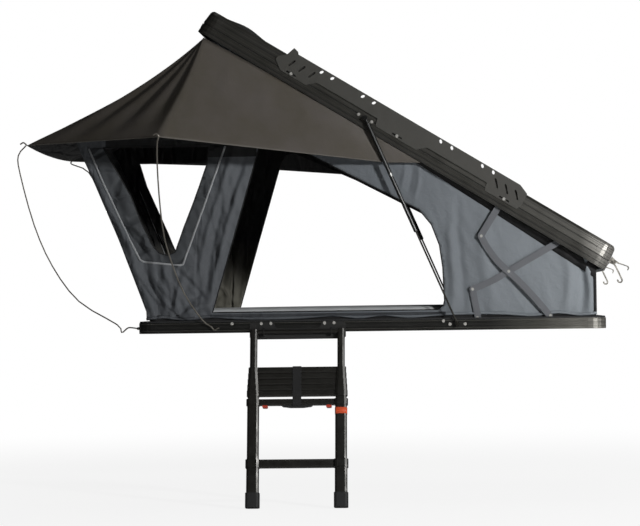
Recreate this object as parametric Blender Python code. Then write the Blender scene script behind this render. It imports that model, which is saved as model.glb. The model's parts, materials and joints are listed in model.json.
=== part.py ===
# Clamshell tent for a roof rack: an aluminium tray and lid, opened on scissor hinges and gas struts,
# with fabric walls, a fly held out by sprung rods, and a telescopic ladder.
#
# Metres, +Z up, +X towards the hinged foot end, -Y is the near side with the ladder.
# The origin is the middle of the tray's underside. Lid pieces are drawn shut and turned open by their empty.

import math

import bmesh
import bpy
from mathutils import Matrix, Vector
from mathutils.geometry import delaunay_2d_cdt

# Tray
BASE_LENGTH = 2.160
BASE_WIDTH = 1.400
RAIL_HEIGHT = 0.050
RAIL_WALL = 0.016
RAIL_DEPTH = 0.060
SHELF_HEIGHT = 0.026
CORNER_RADIUS = 0.0605
END_REACH = 0.085
FLOOR_THICKNESS = 0.024
RAIL_BOLTS = (-0.641, 0.334)
RAIL_BOLT_HEIGHT = 0.0425
TRACK_SPACING = 0.700
TRACK_WIDTH = 0.040
TRACK_HEIGHT = 0.012
TRACK_SLOT = 0.009
SEAL_WIDTH = 0.010
SEAL_HEIGHT = 0.0068
SEAT_GAP = 0.0003

# Lid
LID_OVERHANG = 0.025
LID_HEIGHT = 0.1175
LID_WALL = 0.016
LID_SHELF = 0.0895
LID_SKIN = 0.0175
LID_RIM = 0.040
OPEN_ANGLE = math.radians(31.45)
OPEN_REAR_SHIFT = -0.004
OPEN_REAR_HEIGHT = 0.264
SHUT_REAR_SHIFT = -0.0252
SHUT_GAP = 0.0006
HUMP_LENGTH = 0.250
HUMP_HEIGHT = 0.014
HUMP_FROM_FRONT = 0.070

# Scissor hinge, seen from the side
ARM_WIDTH = 0.030
ARM_THICKNESS = 0.0025
PIN_RADIUS = 0.0060
PIN_HEAD = 0.0016
ARM_A_PIN_FROM_REAR = 0.258
HINGE_PIN_HEIGHT = 0.060
LINK_B_PIN_HEIGHT = 0.056
ARM_A_LOWER = 0.279
ARM_A_UPPER = 0.206
ARM_A_OPEN_ANGLE = math.radians(132.1)
ARM_A_SHUT_ANGLE = math.radians(180.0)
ARM_A_BEND = math.radians(-5.4)
ARM_B_LOWER = 0.183
ARM_B_BEND = math.radians(-3.9)
ARM_BOW = 0.012
LINK_A_LAYER = 0.0180
ARM_A_LAYER = 0.0225
ARM_B_LAYER = 0.0286
LINK_B_LAYER = 0.0331
LUG_THICKNESS = 0.0027
LUG_GAP = 0.0004
LUG_HALF_WIDTH = 0.013

# Gas struts
STRUT_OFFSET = 0.0170
STRUT_RADIUS = 0.0095
STRUT_BORE = 0.0052
STRUT_ROD_RADIUS = 0.0043
STRUT_TUBE_LENGTH = 0.565
STRUT_ROD_INSIDE = 0.060
STRUT_BASE_FROM_REAR = 0.681
STRUT_BASE_HEIGHT = 0.028
STRUT_LID_STATION = 1.303
STRUT_LID_HEIGHT = 0.044
STRUT_EYE_RADIUS = 0.0105
STRUT_EYE_WIDTH = 0.014
BRACKET_LENGTH = 0.092
BRACKET_HEIGHT = 0.028
BRACKET_THICKNESS = 0.004

# Rack side plates, stations counted along the lid from its rear edge
RACK_THICKNESS = 0.003
RACK_REAR = 0.480
RACK_FRONT = 1.800
RACK_BOTTOM = 0.036
RACK_TOP = 0.141
RACK_NOTCHES = ((0.665, 1.018), (1.248, 1.608))
RACK_NOTCH_TOP = 0.071
RACK_SLOT_WIDTH = 0.009
RACK_SLOT_HEIGHT = 0.0915
RACK_SLOT_PITCH = 0.0535
RACK_BOLT_SLOT = 0.054
# Each group of slots: first slot's place from the plate's end, lean, length; edge slots' stations, lean, drop
RACK_SLOTS = (
    (0.044, math.radians(48), 0.048, (0.668, 0.726, 0.889, 0.948), math.radians(45), 0.0135),
    (-0.183, math.radians(115), 0.040, (1.304, 1.363, 1.527, 1.584), math.radians(129), 0.0165),
)
RACK_HORN = 0.016

# Toggle latches at the lid's rear edge
LATCH_FROM_SIDE = 0.110
LATCH_WIDTH = 0.036
LATCH_LEVER_PIN = (0.022, 0.0300)
LATCH_HOOK_PIN = (0.022, 0.0180)
LATCH_PIN_RADIUS = 0.0018
LATCH_HOOK_RADIUS = 0.0036
LATCH_LEVER_LENGTH = 0.062
LATCH_HOOK_LENGTH = 0.073
LATCH_LIFT = 0.034

# Mattress and fabric
MATTRESS_SIDE_GAP = 0.100
MATTRESS_TOP = 0.118
MATTRESS_END_GAP = 0.085
CLOTH = 0.002
WALL_INSET = 0.044
WALL_REAR_INSET = 0.043
WALL_FRONT_FOOT = 0.064
WALL_FRONT_REACH = 0.298
WALL_FRONT_TOP = 0.930
WALL_LID_HEIGHT = 0.0888
WALL_FOLD = 0.005
DOOR_SILL = 0.095
DOOR_RISES = {"near": 0.0, "far": 0.025}

# Fly, from the front end of the tray
FLY_FRONT_REACH = 0.515
FLY_FRONT_HEIGHT = 0.885
FLY_FRONT_INSET = 0.048
FLY_SIDE_STATION = 0.167
FLY_SIDE_HEIGHT = 0.880
FLY_SIDE_SPLAY = 0.450
FLY_END_STATION = 0.978
FLY_SAG = 0.030
FLY_FOLD = 0.007
FLY_SET_BACK = 0.044
FLY_FRONT_DROP = 0.013

# Sprung rods that hold the fly out
ROD_RADIUS = 0.0035
ROD_EYE_REACH = 0.0085
ROD_EYE_WALL = 0.0030
ROD_BOSS_LENGTH = 0.006
FRONT_ROD_HEIGHT = 0.025
# How far ahead of the tray, how far outwards and how high each front rod runs between its kink and its hook
FRONT_ROD_BOWS = {
    "near": ((0.107, 0.0, 0.045), (0.284, 0.0, 0.155), (0.406, 0.0, 0.319),
             (0.489, 0.010, 0.514), (0.551, 0.020, 0.755), (0.557, 0.026, 0.839)),
    "far": ((0.098, 0.0, 0.060), (0.173, 0.0, 0.236), (0.263, 0.006, 0.454),
            (0.353, 0.016, 0.678), (0.429, 0.024, 0.826), (0.517, 0.030, 0.870)),
}
SIDE_ROD_STATION = 0.378
SIDE_ROD_HEIGHT = 0.024

# Ladder: stations run down the ladder from its pivot
LADDER_CENTRE = 0.743
LADDER_SPACING = 0.402
LADDER_TILT = math.radians(14.0)
LADDER_STAND_OFF = 0.020
LADDER_PIVOT_HEIGHT = 0.003
TOP_TUBE_WIDTH = 0.034
TOP_TUBE_DEPTH = 0.022
TUBE_WALL = 0.0012
TUBE_CLEARANCE = 0.0004
COLLAR_PROUD = 0.0045
RUNG_DEPTH = 0.030
STACK_TOP = 0.1690
STACK_PITCH = 0.0272
STACK_COUNT = 5
STACK_TUBE_LENGTH = 0.300
HANDLE_RUNG_TOP = 0.3180
BOTTOM_RUNG_TOP = 0.5970
LADDER_LENGTH = 0.8160
FOOT_HEIGHT = 0.0665
FOOT_SOLE = 0.0150
FOOT_WALL = 0.0040
TOP_TUBE_LENGTH = 0.330
LADDER_BAR_RADIUS = 0.009
LADDER_BRACKET_MARGIN = 0.021
LADDER_EAR_INSET = 0.046
LADDER_EAR_WIDTH = 0.004

# Colour, roughness, metallic
FINISHES = {
    "black_extrusion": ((0.030, 0.030, 0.029), 0.42, 0.6),
    "black_sheet": ((0.042, 0.041, 0.038), 0.55, 0.5),
    "steel": ((0.420, 0.400, 0.380), 0.30, 1.0),
    "grey_arm": ((0.130, 0.130, 0.130), 0.45, 0.8),
    "rubber": ((0.012, 0.012, 0.012), 0.80, 0.0),
    "wall_cloth": ((0.095, 0.108, 0.122), 0.85, 0.0),
    "fly_cloth": ((0.040, 0.037, 0.034), 0.80, 0.0),
    "foam": ((0.330, 0.335, 0.340), 0.90, 0.0),
    "black_plastic": ((0.020, 0.020, 0.020), 0.50, 0.0),
    "red_plastic": ((0.500, 0.040, 0.030), 0.40, 0.0),
}

FRONT = -BASE_LENGTH / 2
REAR = BASE_LENGTH / 2
HALF = BASE_WIDTH / 2
LID_LENGTH = BASE_LENGTH + LID_OVERHANG
MATTRESS_HALF_WIDTH = HALF - MATTRESS_SIDE_GAP
FLY_FRONT_HALF = HALF - FLY_FRONT_INSET
SIDES = {"near": -1, "far": 1}
SHUT_LIFT = RAIL_HEIGHT + SEAT_GAP + SEAL_HEIGHT + SHUT_GAP


def turn(point, centre, angle):
    """Turn an (x, z) point about a centre, anticlockwise as seen from the near side."""
    a = point[0] - centre[0]
    b = point[1] - centre[1]
    c = math.cos(angle)
    s = math.sin(angle)
    return (centre[0] + a * c - b * s, centre[1] + a * s + b * c)


def step(point, length, angle):
    return (point[0] + length * math.cos(angle), point[1] + length * math.sin(angle))


def heading(start, end):
    return math.atan2(end[1] - start[1], end[0] - start[0])


SHUT_REAR = (REAR + SHUT_REAR_SHIFT, SHUT_LIFT)
OPEN_REAR = (REAR + OPEN_REAR_SHIFT, OPEN_REAR_HEIGHT)


def find_pole():
    """The centre about which one turn by the open angle takes the shut lid to the open one."""
    middle = ((SHUT_REAR[0] + OPEN_REAR[0]) / 2, (SHUT_REAR[1] + OPEN_REAR[1]) / 2)
    chord_x = OPEN_REAR[0] - SHUT_REAR[0]
    chord_z = OPEN_REAR[1] - SHUT_REAR[1]
    reach = 1 / (2 * math.tan(OPEN_ANGLE / 2))
    return (middle[0] + chord_z * reach, middle[1] - chord_x * reach)


LID_POLE = find_pole()


def lid_xz(station, height):
    """A point of the shut lid: station from its rear edge, height from its lower rim."""
    return (SHUT_REAR[0] - station, SHUT_REAR[1] + height)


def open_xz(station, height):
    return turn(lid_xz(station, height), LID_POLE, -OPEN_ANGLE)


def pin_on_level(first, second, level):
    """The pin at a given height that is equally far from both places of a joint."""
    middle = ((first[0] + second[0]) / 2, (first[1] + second[1]) / 2)
    across = (second[0] - first[0], second[1] - first[1])
    return (middle[0] - (level - middle[1]) * across[1] / across[0], level)


# The scissor's pins. A pin on the lid or the tray lies where its link has one length, open and shut.
ARM_A_PIN = (REAR - ARM_A_PIN_FROM_REAR, HINGE_PIN_HEIGHT)
MID_PIN = step(ARM_A_PIN, ARM_A_LOWER, ARM_A_OPEN_ANGLE)
MID_SHUT = step(ARM_A_PIN, ARM_A_LOWER, ARM_A_SHUT_ANGLE)
TOP_ELBOW = step(MID_PIN, ARM_A_UPPER, ARM_A_OPEN_ANGLE + ARM_A_BEND)
TOP_ELBOW_SHUT = step(MID_SHUT, ARM_A_UPPER, ARM_A_SHUT_ANGLE + ARM_A_BEND)


def lid_pin(first_open, first_shut):
    """A pin on the lid's lower rim, for a joint known in the open and in the shut pose."""
    as_shut = turn(first_open, LID_POLE, OPEN_ANGLE)
    return pin_on_level(as_shut, first_shut, SHUT_REAR[1])


ARM_B_PIN_SHUT = lid_pin(MID_PIN, MID_SHUT)
ARM_B_PIN = turn(ARM_B_PIN_SHUT, LID_POLE, -OPEN_ANGLE)
LINK_A_PIN_SHUT = lid_pin(TOP_ELBOW, TOP_ELBOW_SHUT)
LINK_A_PIN = turn(LINK_A_PIN_SHUT, LID_POLE, -OPEN_ANGLE)
LOW_ELBOW = step(MID_PIN, ARM_B_LOWER, heading(ARM_B_PIN, MID_PIN) + ARM_B_BEND)
LOW_ELBOW_SHUT = step(MID_SHUT, ARM_B_LOWER, heading(ARM_B_PIN_SHUT, MID_SHUT) + ARM_B_BEND)
LINK_B_PIN = pin_on_level(LOW_ELBOW, LOW_ELBOW_SHUT, LINK_B_PIN_HEIGHT)

STRUT_LID_PIN = open_xz(STRUT_LID_STATION, STRUT_LID_HEIGHT)
STRUT_BASE_PIN = (REAR - STRUT_BASE_FROM_REAR, STRUT_BASE_HEIGHT)


# Building blocks


def circle(radius, count, centre=(0.0, 0.0)):
    angles = [2 * math.pi * i / count for i in range(count)]
    return [(centre[0] + radius * math.cos(a), centre[1] + radius * math.sin(a)) for a in angles]


def slot_outline(centre, length, width, angle=0.0, steps=4):
    """A slot with round ends, centred on a point and leaning by an angle."""
    points = []
    for end in (1, -1):
        for i in range(steps + 1):
            a = math.pi * (i / steps - 0.5) + (0 if end == 1 else math.pi)
            points.append((end * (length - width) / 2 + width / 2 * math.cos(a), width / 2 * math.sin(a)))
    c = math.cos(angle)
    s = math.sin(angle)
    return [(centre[0] + a * c - b * s, centre[1] + a * s + b * c) for a, b in points]


def rounded_box(width, depth, radius, steps=2):
    points = []
    for cx, cy, start in ((1, 1, 0), (-1, 1, 90), (-1, -1, 180), (1, -1, 270)):
        for i in range(steps + 1):
            a = math.radians(start + 90 * i / steps)
            x = cx * (width / 2 - radius) + radius * math.cos(a)
            y = cy * (depth / 2 - radius) + radius * math.sin(a)
            points.append((x, y))
    return points


def smooth_path(points, steps):
    """Points on a smooth curve through the given ones."""
    vectors = [Vector(p) for p in points]
    padded = [2 * vectors[0] - vectors[1]] + vectors + [2 * vectors[-1] - vectors[-2]]
    path = []
    for a, b, c, d in zip(padded, padded[1:], padded[2:], padded[3:]):
        for i in range(steps):
            t = i / steps
            path.append(0.5 * (2 * b + (c - a) * t + (2 * a - 5 * b + 4 * c - d) * t ** 2
                               + (3 * b - a - 3 * c + d) * t ** 3))
    path.append(vectors[-1])
    return path


def strip_outline(path, width, steps=5):
    """The outline of a flat bar of one width along a path, with round ends."""
    left = []
    right = []
    for i, point in enumerate(path):
        ahead = path[min(i + 1, len(path) - 1)]
        behind = path[max(i - 1, 0)]
        along = (Vector(ahead) - Vector(behind)).normalized()
        across = Vector((-along[1], along[0])) * width / 2
        left.append((point[0] + across[0], point[1] + across[1]))
        right.append((point[0] - across[0], point[1] - across[1]))
    outline = list(right)
    end_angle = heading(path[-2], path[-1])
    for i in range(1, steps):
        outline.append(step(path[-1], width / 2, end_angle - math.pi / 2 + math.pi * i / steps))
    outline += reversed(left)
    start_angle = heading(path[1], path[0])
    for i in range(1, steps):
        outline.append(step(path[0], width / 2, start_angle - math.pi / 2 + math.pi * i / steps))
    return outline


def inside(point, loop):
    """Whether a point lies inside a closed outline."""
    x, y = point
    crossings = 0
    for (ax, ay), (bx, by) in zip(loop, [*loop[1:], loop[0]]):
        if (ay > y) != (by > y) and x < ax + (y - ay) * (bx - ax) / (by - ay):
            crossings += 1
    return crossings % 2 == 1


def flat_faces(bm, loops):
    """Flat faces inside the first loop and outside the others, in the bmesh's x and y."""
    points = [Vector(p) for loop in loops for p in loop]
    edges = []
    for loop in loops:
        start = len(edges)
        edges += [(start + i, start + (i + 1) % len(loop)) for i in range(len(loop))]
    places, _, faces, _, _, _ = delaunay_2d_cdt(points, edges, [], 1, 1e-7)
    verts = [bm.verts.new((a, b, 0)) for a, b in places]
    for face in faces:
        middle = sum((places[i] for i in face), Vector((0, 0))) / len(face)
        if not any(inside(middle, hole) for hole in loops[1:]):
            bm.faces.new([verts[i] for i in face])


def prism(outline, low, high, place, holes=()):
    """A flat outline with holes, extruded from low to high. place(a, b, c) gives the point in space."""
    bm = bmesh.new()
    if holes:
        flat_faces(bm, [outline, *holes])
    else:
        bm.faces.new([bm.verts.new((a, b, 0)) for a, b in outline])
    bottom = bm.verts[:]
    made = bmesh.ops.extrude_face_region(bm, geom=bm.faces[:], use_keep_orig=True)
    top = [v for v in made["geom"] if isinstance(v, bmesh.types.BMVert)]
    for v in bottom:
        v.co = place(v.co.x, v.co.y, low)
    for v in top:
        v.co = place(v.co.x, v.co.y, high)
    bmesh.ops.recalc_face_normals(bm, faces=bm.faces)
    return bm


def loft(rings, closed=False):
    """Rings of equal count joined in order. An open loft gets flat caps, a closed one meets its start."""
    bm = bmesh.new()
    rows = [[bm.verts.new(p) for p in ring] for ring in rings]
    pairs = list(zip(rows, rows[1:]))
    if closed:
        pairs.append((rows[-1], rows[0]))
    for first, second in pairs:
        for i in range(len(first)):
            j = (i + 1) % len(first)
            bm.faces.new((first[i], first[j], second[j], second[i]))
    if not closed:
        bm.faces.new(rows[0])
        bm.faces.new(rows[-1])
    bmesh.ops.recalc_face_normals(bm, faces=bm.faces)
    return bm


def turned(profile, count, start, along):
    """A (radius, distance) profile turned round an axis; a radius of 0 closes on the axis."""
    axis = Vector(along).normalized()
    side = axis.orthogonal().normalized()
    other = axis.cross(side)
    bm = bmesh.new()
    rows = []
    for radius, distance in profile:
        middle = Vector(start) + axis * distance
        if radius == 0:
            rows.append([bm.verts.new(middle)] * count)
            continue
        ring = []
        for a, b in circle(radius, count):
            ring.append(bm.verts.new(middle + side * a + other * b))
        rows.append(ring)
    for first, second in zip(rows, rows[1:]):
        for i in range(count):
            j = (i + 1) % count
            corners = []
            for v in (first[i], first[j], second[j], second[i]):
                if v not in corners:
                    corners.append(v)
            bm.faces.new(corners)
    bmesh.ops.recalc_face_normals(bm, faces=bm.faces)
    return bm


def disc(radius, start, along, length, count=12):
    return turned(((0, 0), (radius, 0), (radius, length), (0, length)), count, start, along)


def add(name, bm, finish, origin=(0, 0, 0), parent=None, smooth=30):
    """Make one named object. Its mesh is drawn in place, and its origin is moved to its joint or seat."""
    bmesh.ops.translate(bm, verts=bm.verts, vec=-Vector(origin))
    mesh = bpy.data.meshes.new(name)
    bm.to_mesh(mesh)
    bm.free()
    if smooth:
        mesh.shade_smooth()
        mesh.set_sharp_from_angle(angle=math.radians(smooth))
    obj = bpy.data.objects.new(name, mesh)
    bpy.context.collection.objects.link(obj)
    obj.location = origin
    if parent:
        obj.parent = parent
        obj.matrix_parent_inverse = Matrix.Translation(-parent.location)
    dress(obj, finish)
    return obj


def dress(obj, finish):
    colour, roughness, metallic = FINISHES[finish]
    material = bpy.data.materials.new(obj.name)
    material.use_nodes = True
    shader = material.node_tree.nodes["Principled BSDF"]
    shader.inputs["Base Color"].default_value = (*colour, 1)
    shader.inputs["Roughness"].default_value = roughness
    shader.inputs["Metallic"].default_value = metallic
    obj.data.materials.append(material)


def combine(obj, bm, operation, label):
    """Join a helper shape to an object, or cut it away. The helper stays as a hidden guide."""
    mesh = bpy.data.meshes.new(obj.name + label)
    bm.to_mesh(mesh)
    bm.free()
    helper = bpy.data.objects.new(obj.name + label, mesh)
    bpy.context.collection.objects.link(helper)
    if obj.parent:
        helper.parent = obj.parent
        helper.matrix_parent_inverse = Matrix.Translation(-obj.parent.location)
    helper.hide_render = True
    helper.display_type = "WIRE"
    modifier = obj.modifiers.new(label, "BOOLEAN")
    modifier.operation = operation
    modifier.object = helper


def fuse(obj, *shapes):
    for i, bm in enumerate(shapes):
        combine(obj, bm, "UNION", "_joined%d" % i)


def cut(obj, *shapes):
    for i, bm in enumerate(shapes):
        combine(obj, bm, "DIFFERENCE", "_cut%d" % i)


def pivot(name, location, angle=0.0, axis="Y"):
    empty = bpy.data.objects.new(name, None)
    bpy.context.collection.objects.link(empty)
    empty.location = location
    if axis == "Y":
        empty.rotation_euler = (0, angle, 0)
    else:
        empty.rotation_euler = (angle, 0, 0)
    return empty


def tube(name, points, radius, finish, origin, sides=1):
    """A round rod along a path, as a curve with filled ends."""
    curve = bpy.data.curves.new(name, "CURVE")
    curve.dimensions = "3D"
    curve.bevel_depth = radius
    curve.bevel_resolution = sides
    curve.use_fill_caps = True
    spline = curve.splines.new("POLY")
    spline.points.add(len(points) - 1)
    for place, point in zip(spline.points, points):
        place.co = (*(Vector(point) - Vector(origin)), 1)
    obj = bpy.data.objects.new(name, curve)
    bpy.context.collection.objects.link(obj)
    obj.location = origin
    dress(obj, finish)
    return obj


def side_place(side):
    """Outline in x and z; the third number is the distance inwards from the tray's outer face."""
    return lambda x, z, inset: Vector((x, side * (HALF - inset), z))


def rim_path(start_x, end_x, inset, steps=5):
    """Half of the plan outline at one end: a U from the near side round two corners to the far side."""
    out = 1 if end_x > start_x else -1
    radius = CORNER_RADIUS - inset
    points = [(start_x, -(HALF - inset))]
    for side, first in ((-1, True), (1, False)):
        for i in range(steps + 1):
            t = i / steps if first else 1 - i / steps
            a = math.pi / 2 * t
            x = end_x - out * CORNER_RADIUS + out * radius * math.sin(a)
            y = side * (HALF - CORNER_RADIUS + radius * math.cos(a))
            points.append((x, y))
    points.append((start_x, HALF - inset))
    return points


def rim_sweep(profile, start_x, end_x):
    """A profile of (inset, height) swept round one end of the tray or lid."""
    paths = [rim_path(start_x, end_x, inset) for inset, _ in profile]
    rings = []
    for i in range(len(paths[0])):
        rings.append([Vector((*path[i], height)) for path, (_, height) in zip(paths, profile)])
    return loft(rings)


# Tray


def base_profile(grooved):
    """Outer wall, shelf for the hinge and fabric, and foot. The long rails carry two grooves."""
    outside = []
    if grooved:
        for low in (0.014, 0.034):
            outside += [(0, low), (0.003, low + 0.001), (0.003, low + 0.005), (0, low + 0.006)]
    outer = [(0.0015, 0.0), (0.0, 0.0015)] + outside + [(0.0, RAIL_HEIGHT - 0.002), (0.002, RAIL_HEIGHT)]
    inner = [(RAIL_WALL, RAIL_HEIGHT), (RAIL_WALL, SHELF_HEIGHT), (RAIL_DEPTH, SHELF_HEIGHT),
             (RAIL_DEPTH, 0.0)]
    return outer + inner


def rail_lug(pin, side, inset, floor):
    """A flat ear that carries a hinge pin, standing on the shelf or hanging from the lid."""
    top = pin[1] + LUG_HALF_WIDTH if floor < pin[1] else pin[1] - LUG_HALF_WIDTH
    corner = 0.005 if floor < pin[1] else -0.005
    outline = [(pin[0] - LUG_HALF_WIDTH, floor), (pin[0] + LUG_HALF_WIDTH, floor),
               (pin[0] + LUG_HALF_WIDTH, top - corner), (pin[0] + LUG_HALF_WIDTH - 0.005, top),
               (pin[0] - LUG_HALF_WIDTH + 0.005, top), (pin[0] - LUG_HALF_WIDTH, top - corner)]
    return prism(outline, inset, inset + LUG_THICKNESS, side_place(side))


def strut_bracket(pin, side):
    """A plate bolted to the outer face, with its stud and two bolt heads."""
    x, z = pin
    plate = prism(slot_outline((x, z), BRACKET_LENGTH, BRACKET_HEIGHT), -BRACKET_THICKNESS, 0.002,
                  side_place(side))
    outwards = (0, side, 0)
    face = side * (HALF + BRACKET_THICKNESS - 0.0005)
    stud = disc(0.006, (x, face, z), outwards, STRUT_OFFSET - STRUT_EYE_WIDTH / 2 - BRACKET_THICKNESS)
    bolts = []
    for shift in (-1, 1):
        bolts.append(disc(0.005, (x + shift * (BRACKET_LENGTH / 2 - 0.011), face, z), outwards, 0.0025, 8))
    return [plate, stud] + bolts


def rod_eye(side):
    """A small eye plate on the front edge, in which a front rod's foot turns."""
    centre = (FRONT - ROD_EYE_REACH, FRONT_ROD_HEIGHT)
    bore = ROD_RADIUS + LUG_GAP
    outer = bore + ROD_EYE_WALL
    outline = [(FRONT + 0.004, centre[1] - outer), (FRONT + 0.004, centre[1] + outer)]
    for i in range(9):
        outline.append(step(centre, outer, math.pi / 2 + math.pi * i / 8))
    y = side * (FLY_FRONT_HALF - 0.040)
    return prism(outline, y - 0.002, y + 0.002, lambda x, z, along: Vector((x, along, z)),
                 [circle(bore, 12, centre)])


def make_tray():
    inner = HALF - RAIL_DEPTH - SEAT_GAP
    notch = TRACK_WIDTH / 2 + SEAT_GAP
    ends = BASE_LENGTH / 2 - RAIL_DEPTH - SEAT_GAP
    section = [(-inner, 0), (-inner, FLOOR_THICKNESS), (inner, FLOOR_THICKNESS), (inner, 0)]
    for track in (TRACK_SPACING / 2, -TRACK_SPACING / 2):
        roof = TRACK_HEIGHT + SEAT_GAP
        section += [(track + notch, 0), (track + notch, roof), (track - notch, roof), (track - notch, 0)]
    add("base_floor", prism(section, -ends, ends, lambda y, z, x: Vector((x, y, z))), "black_sheet")

    lip = 0.0025
    wall = 0.003
    for name, side in SIDES.items():
        half = TRACK_WIDTH / 2
        channel = [(-TRACK_SLOT / 2, 0), (-TRACK_SLOT / 2, lip), (-half + wall, lip),
                   (-half + wall, TRACK_HEIGHT - wall),
                   (half - wall, TRACK_HEIGHT - wall), (half - wall, lip), (TRACK_SLOT / 2, lip),
                   (TRACK_SLOT / 2, 0),
                   (half, 0), (half, TRACK_HEIGHT), (-half, TRACK_HEIGHT), (-half, 0)]
        middle = side * TRACK_SPACING / 2
        shape = prism(channel, -ends, ends, lambda y, z, x: Vector((x, middle + y, z)))
        add("mounting_track_" + name, shape, "steel")

    length = BASE_LENGTH / 2 - END_REACH - SEAT_GAP
    for name, side in SIDES.items():
        shape = prism(base_profile(True), -length, length,
                      lambda inset, z, x: Vector((x, side * (HALF - inset), z)))
        rail = add("base_rail_" + name, shape, "black_extrusion")
        seat = SHELF_HEIGHT - 0.002
        lugs = [rail_lug(ARM_A_PIN, side, ARM_A_LAYER + ARM_THICKNESS + LUG_GAP, seat),
                rail_lug(LINK_B_PIN, side, LINK_B_LAYER + ARM_THICKNESS + LUG_GAP, seat)]
        eye = (FRONT + SIDE_ROD_STATION, SIDE_ROD_HEIGHT)
        bore = ROD_RADIUS + LUG_GAP
        boss = disc(bore + ROD_EYE_WALL, (eye[0], side * (HALF - 0.006), eye[1]), (0, side, 0),
                    0.006 + ROD_BOSS_LENGTH)
        bolts = [disc(0.006, (x, side * (HALF - 0.001), RAIL_BOLT_HEIGHT), (0, side, 0), 0.0035, 10)
                 for x in RAIL_BOLTS]
        fuse(rail, *lugs, *strut_bracket(STRUT_BASE_PIN, side), boss, *bolts)
        cut(rail, disc(bore, (eye[0], side * (HALF - 0.0015), eye[1]), (0, side, 0), 0.003 + ROD_BOSS_LENGTH))

    for name, edge in (("front", -1), ("rear", 1)):
        shape = rim_sweep(base_profile(False), edge * (BASE_LENGTH / 2 - END_REACH), edge * BASE_LENGTH / 2)
        end = add("base_end_" + name, shape, "black_extrusion")
        if name == "front":
            fuse(end, *[rod_eye(side) for side in SIDES.values()])

    low = RAIL_HEIGHT + SEAT_GAP
    inset = (RAIL_WALL - SEAL_WIDTH) / 2
    band = [(inset, low), (inset, low + SEAL_HEIGHT), (inset + SEAL_WIDTH, low + SEAL_HEIGHT),
            (inset + SEAL_WIDTH, low)]
    front = [rim_path(0, FRONT, i) for i, _ in band]
    rear = [rim_path(0, REAR, i) for i, _ in band]
    rings = []
    for k in range(1, len(front[0]) - 1):
        rings.append([Vector((*path[k], z)) for path, (_, z) in zip(front, band)])
    for k in range(len(rear[0]) - 2, 0, -1):
        rings.append([Vector((*path[k], z)) for path, (_, z) in zip(rear, band)])
    add("lid_seal", loft(rings, closed=True), "rubber")


def make_mattress():
    """A crowned foam pad, its sides drawn in below a sewn edge."""
    start = FRONT + MATTRESS_END_GAP
    end = REAR - MATTRESS_END_GAP
    low = FLOOR_THICKNESS + SEAT_GAP
    tall = MATTRESS_TOP - low
    columns = 20
    rows = 12
    levels = ((0.988, 0.0), (1.0, 0.10), (0.990, 0.50), (1.0, 0.88))
    bm = bmesh.new()

    def point(i, j, grow, height):
        across = (2 * i / rows - 1) * MATTRESS_HALF_WIDTH
        along = (2 * j / columns - 1) * (end - start) / 2
        return Vector(((start + end) / 2 + along * grow, across * grow, low + tall * height))

    edge = [(i, 0) for i in range(rows)] + [(rows, j) for j in range(columns)]
    edge += [(i, columns) for i in range(rows, 0, -1)] + [(0, j) for j in range(columns, 0, -1)]
    loops = [[bm.verts.new(point(i, j, grow, height)) for i, j in edge] for grow, height in levels]
    for first, second in zip(loops, loops[1:]):
        for i in range(len(edge)):
            j = (i + 1) % len(edge)
            bm.faces.new((first[i], first[j], second[j], second[i]))
    bm.faces.new(loops[0])
    grid = {place: vert for place, vert in zip(edge, loops[-1])}
    for i in range(1, rows):
        for j in range(1, columns):
            crown = (math.sin(math.pi * i / rows) * math.sin(math.pi * j / columns)) ** 0.35
            grid[i, j] = bm.verts.new(point(i, j, 1.0, 0.88 + 0.12 * crown))
    for i in range(rows):
        for j in range(columns):
            bm.faces.new((grid[i, j], grid[i + 1, j], grid[i + 1, j + 1], grid[i, j + 1]))
    bmesh.ops.recalc_face_normals(bm, faces=bm.faces)
    add("mattress", bm, "foam")


# Lid


def lid_profile(grooved):
    """Lower flange, groove, sloping upper wall, rolled top edge and the shelf that the skin lies on."""
    flange = [(0.0, 0.0), (0.0, 0.016), (0.0015, 0.017), (0.0015, 0.021), (0.0, 0.022)]
    groove = [(0.0, 0.043), (0.004, 0.044), (0.004, 0.049), (0.001, 0.050)]
    ribs = [(0.0040, 0.074), (0.0055, 0.075), (0.0058, 0.079), (0.0046, 0.080)] if grooved else []
    top = [(0.0080, 0.104), (0.0120, 0.111), (0.0200, LID_HEIGHT), (LID_RIM, LID_HEIGHT)]
    seat = LID_HEIGHT - LID_SKIN - SEAT_GAP
    inner = [(LID_RIM, seat), (RAIL_DEPTH, seat), (RAIL_DEPTH, LID_SHELF), (LID_WALL, LID_SHELF),
             (LID_WALL, 0.0)]
    return flange + groove + ribs + top + inner


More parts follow.
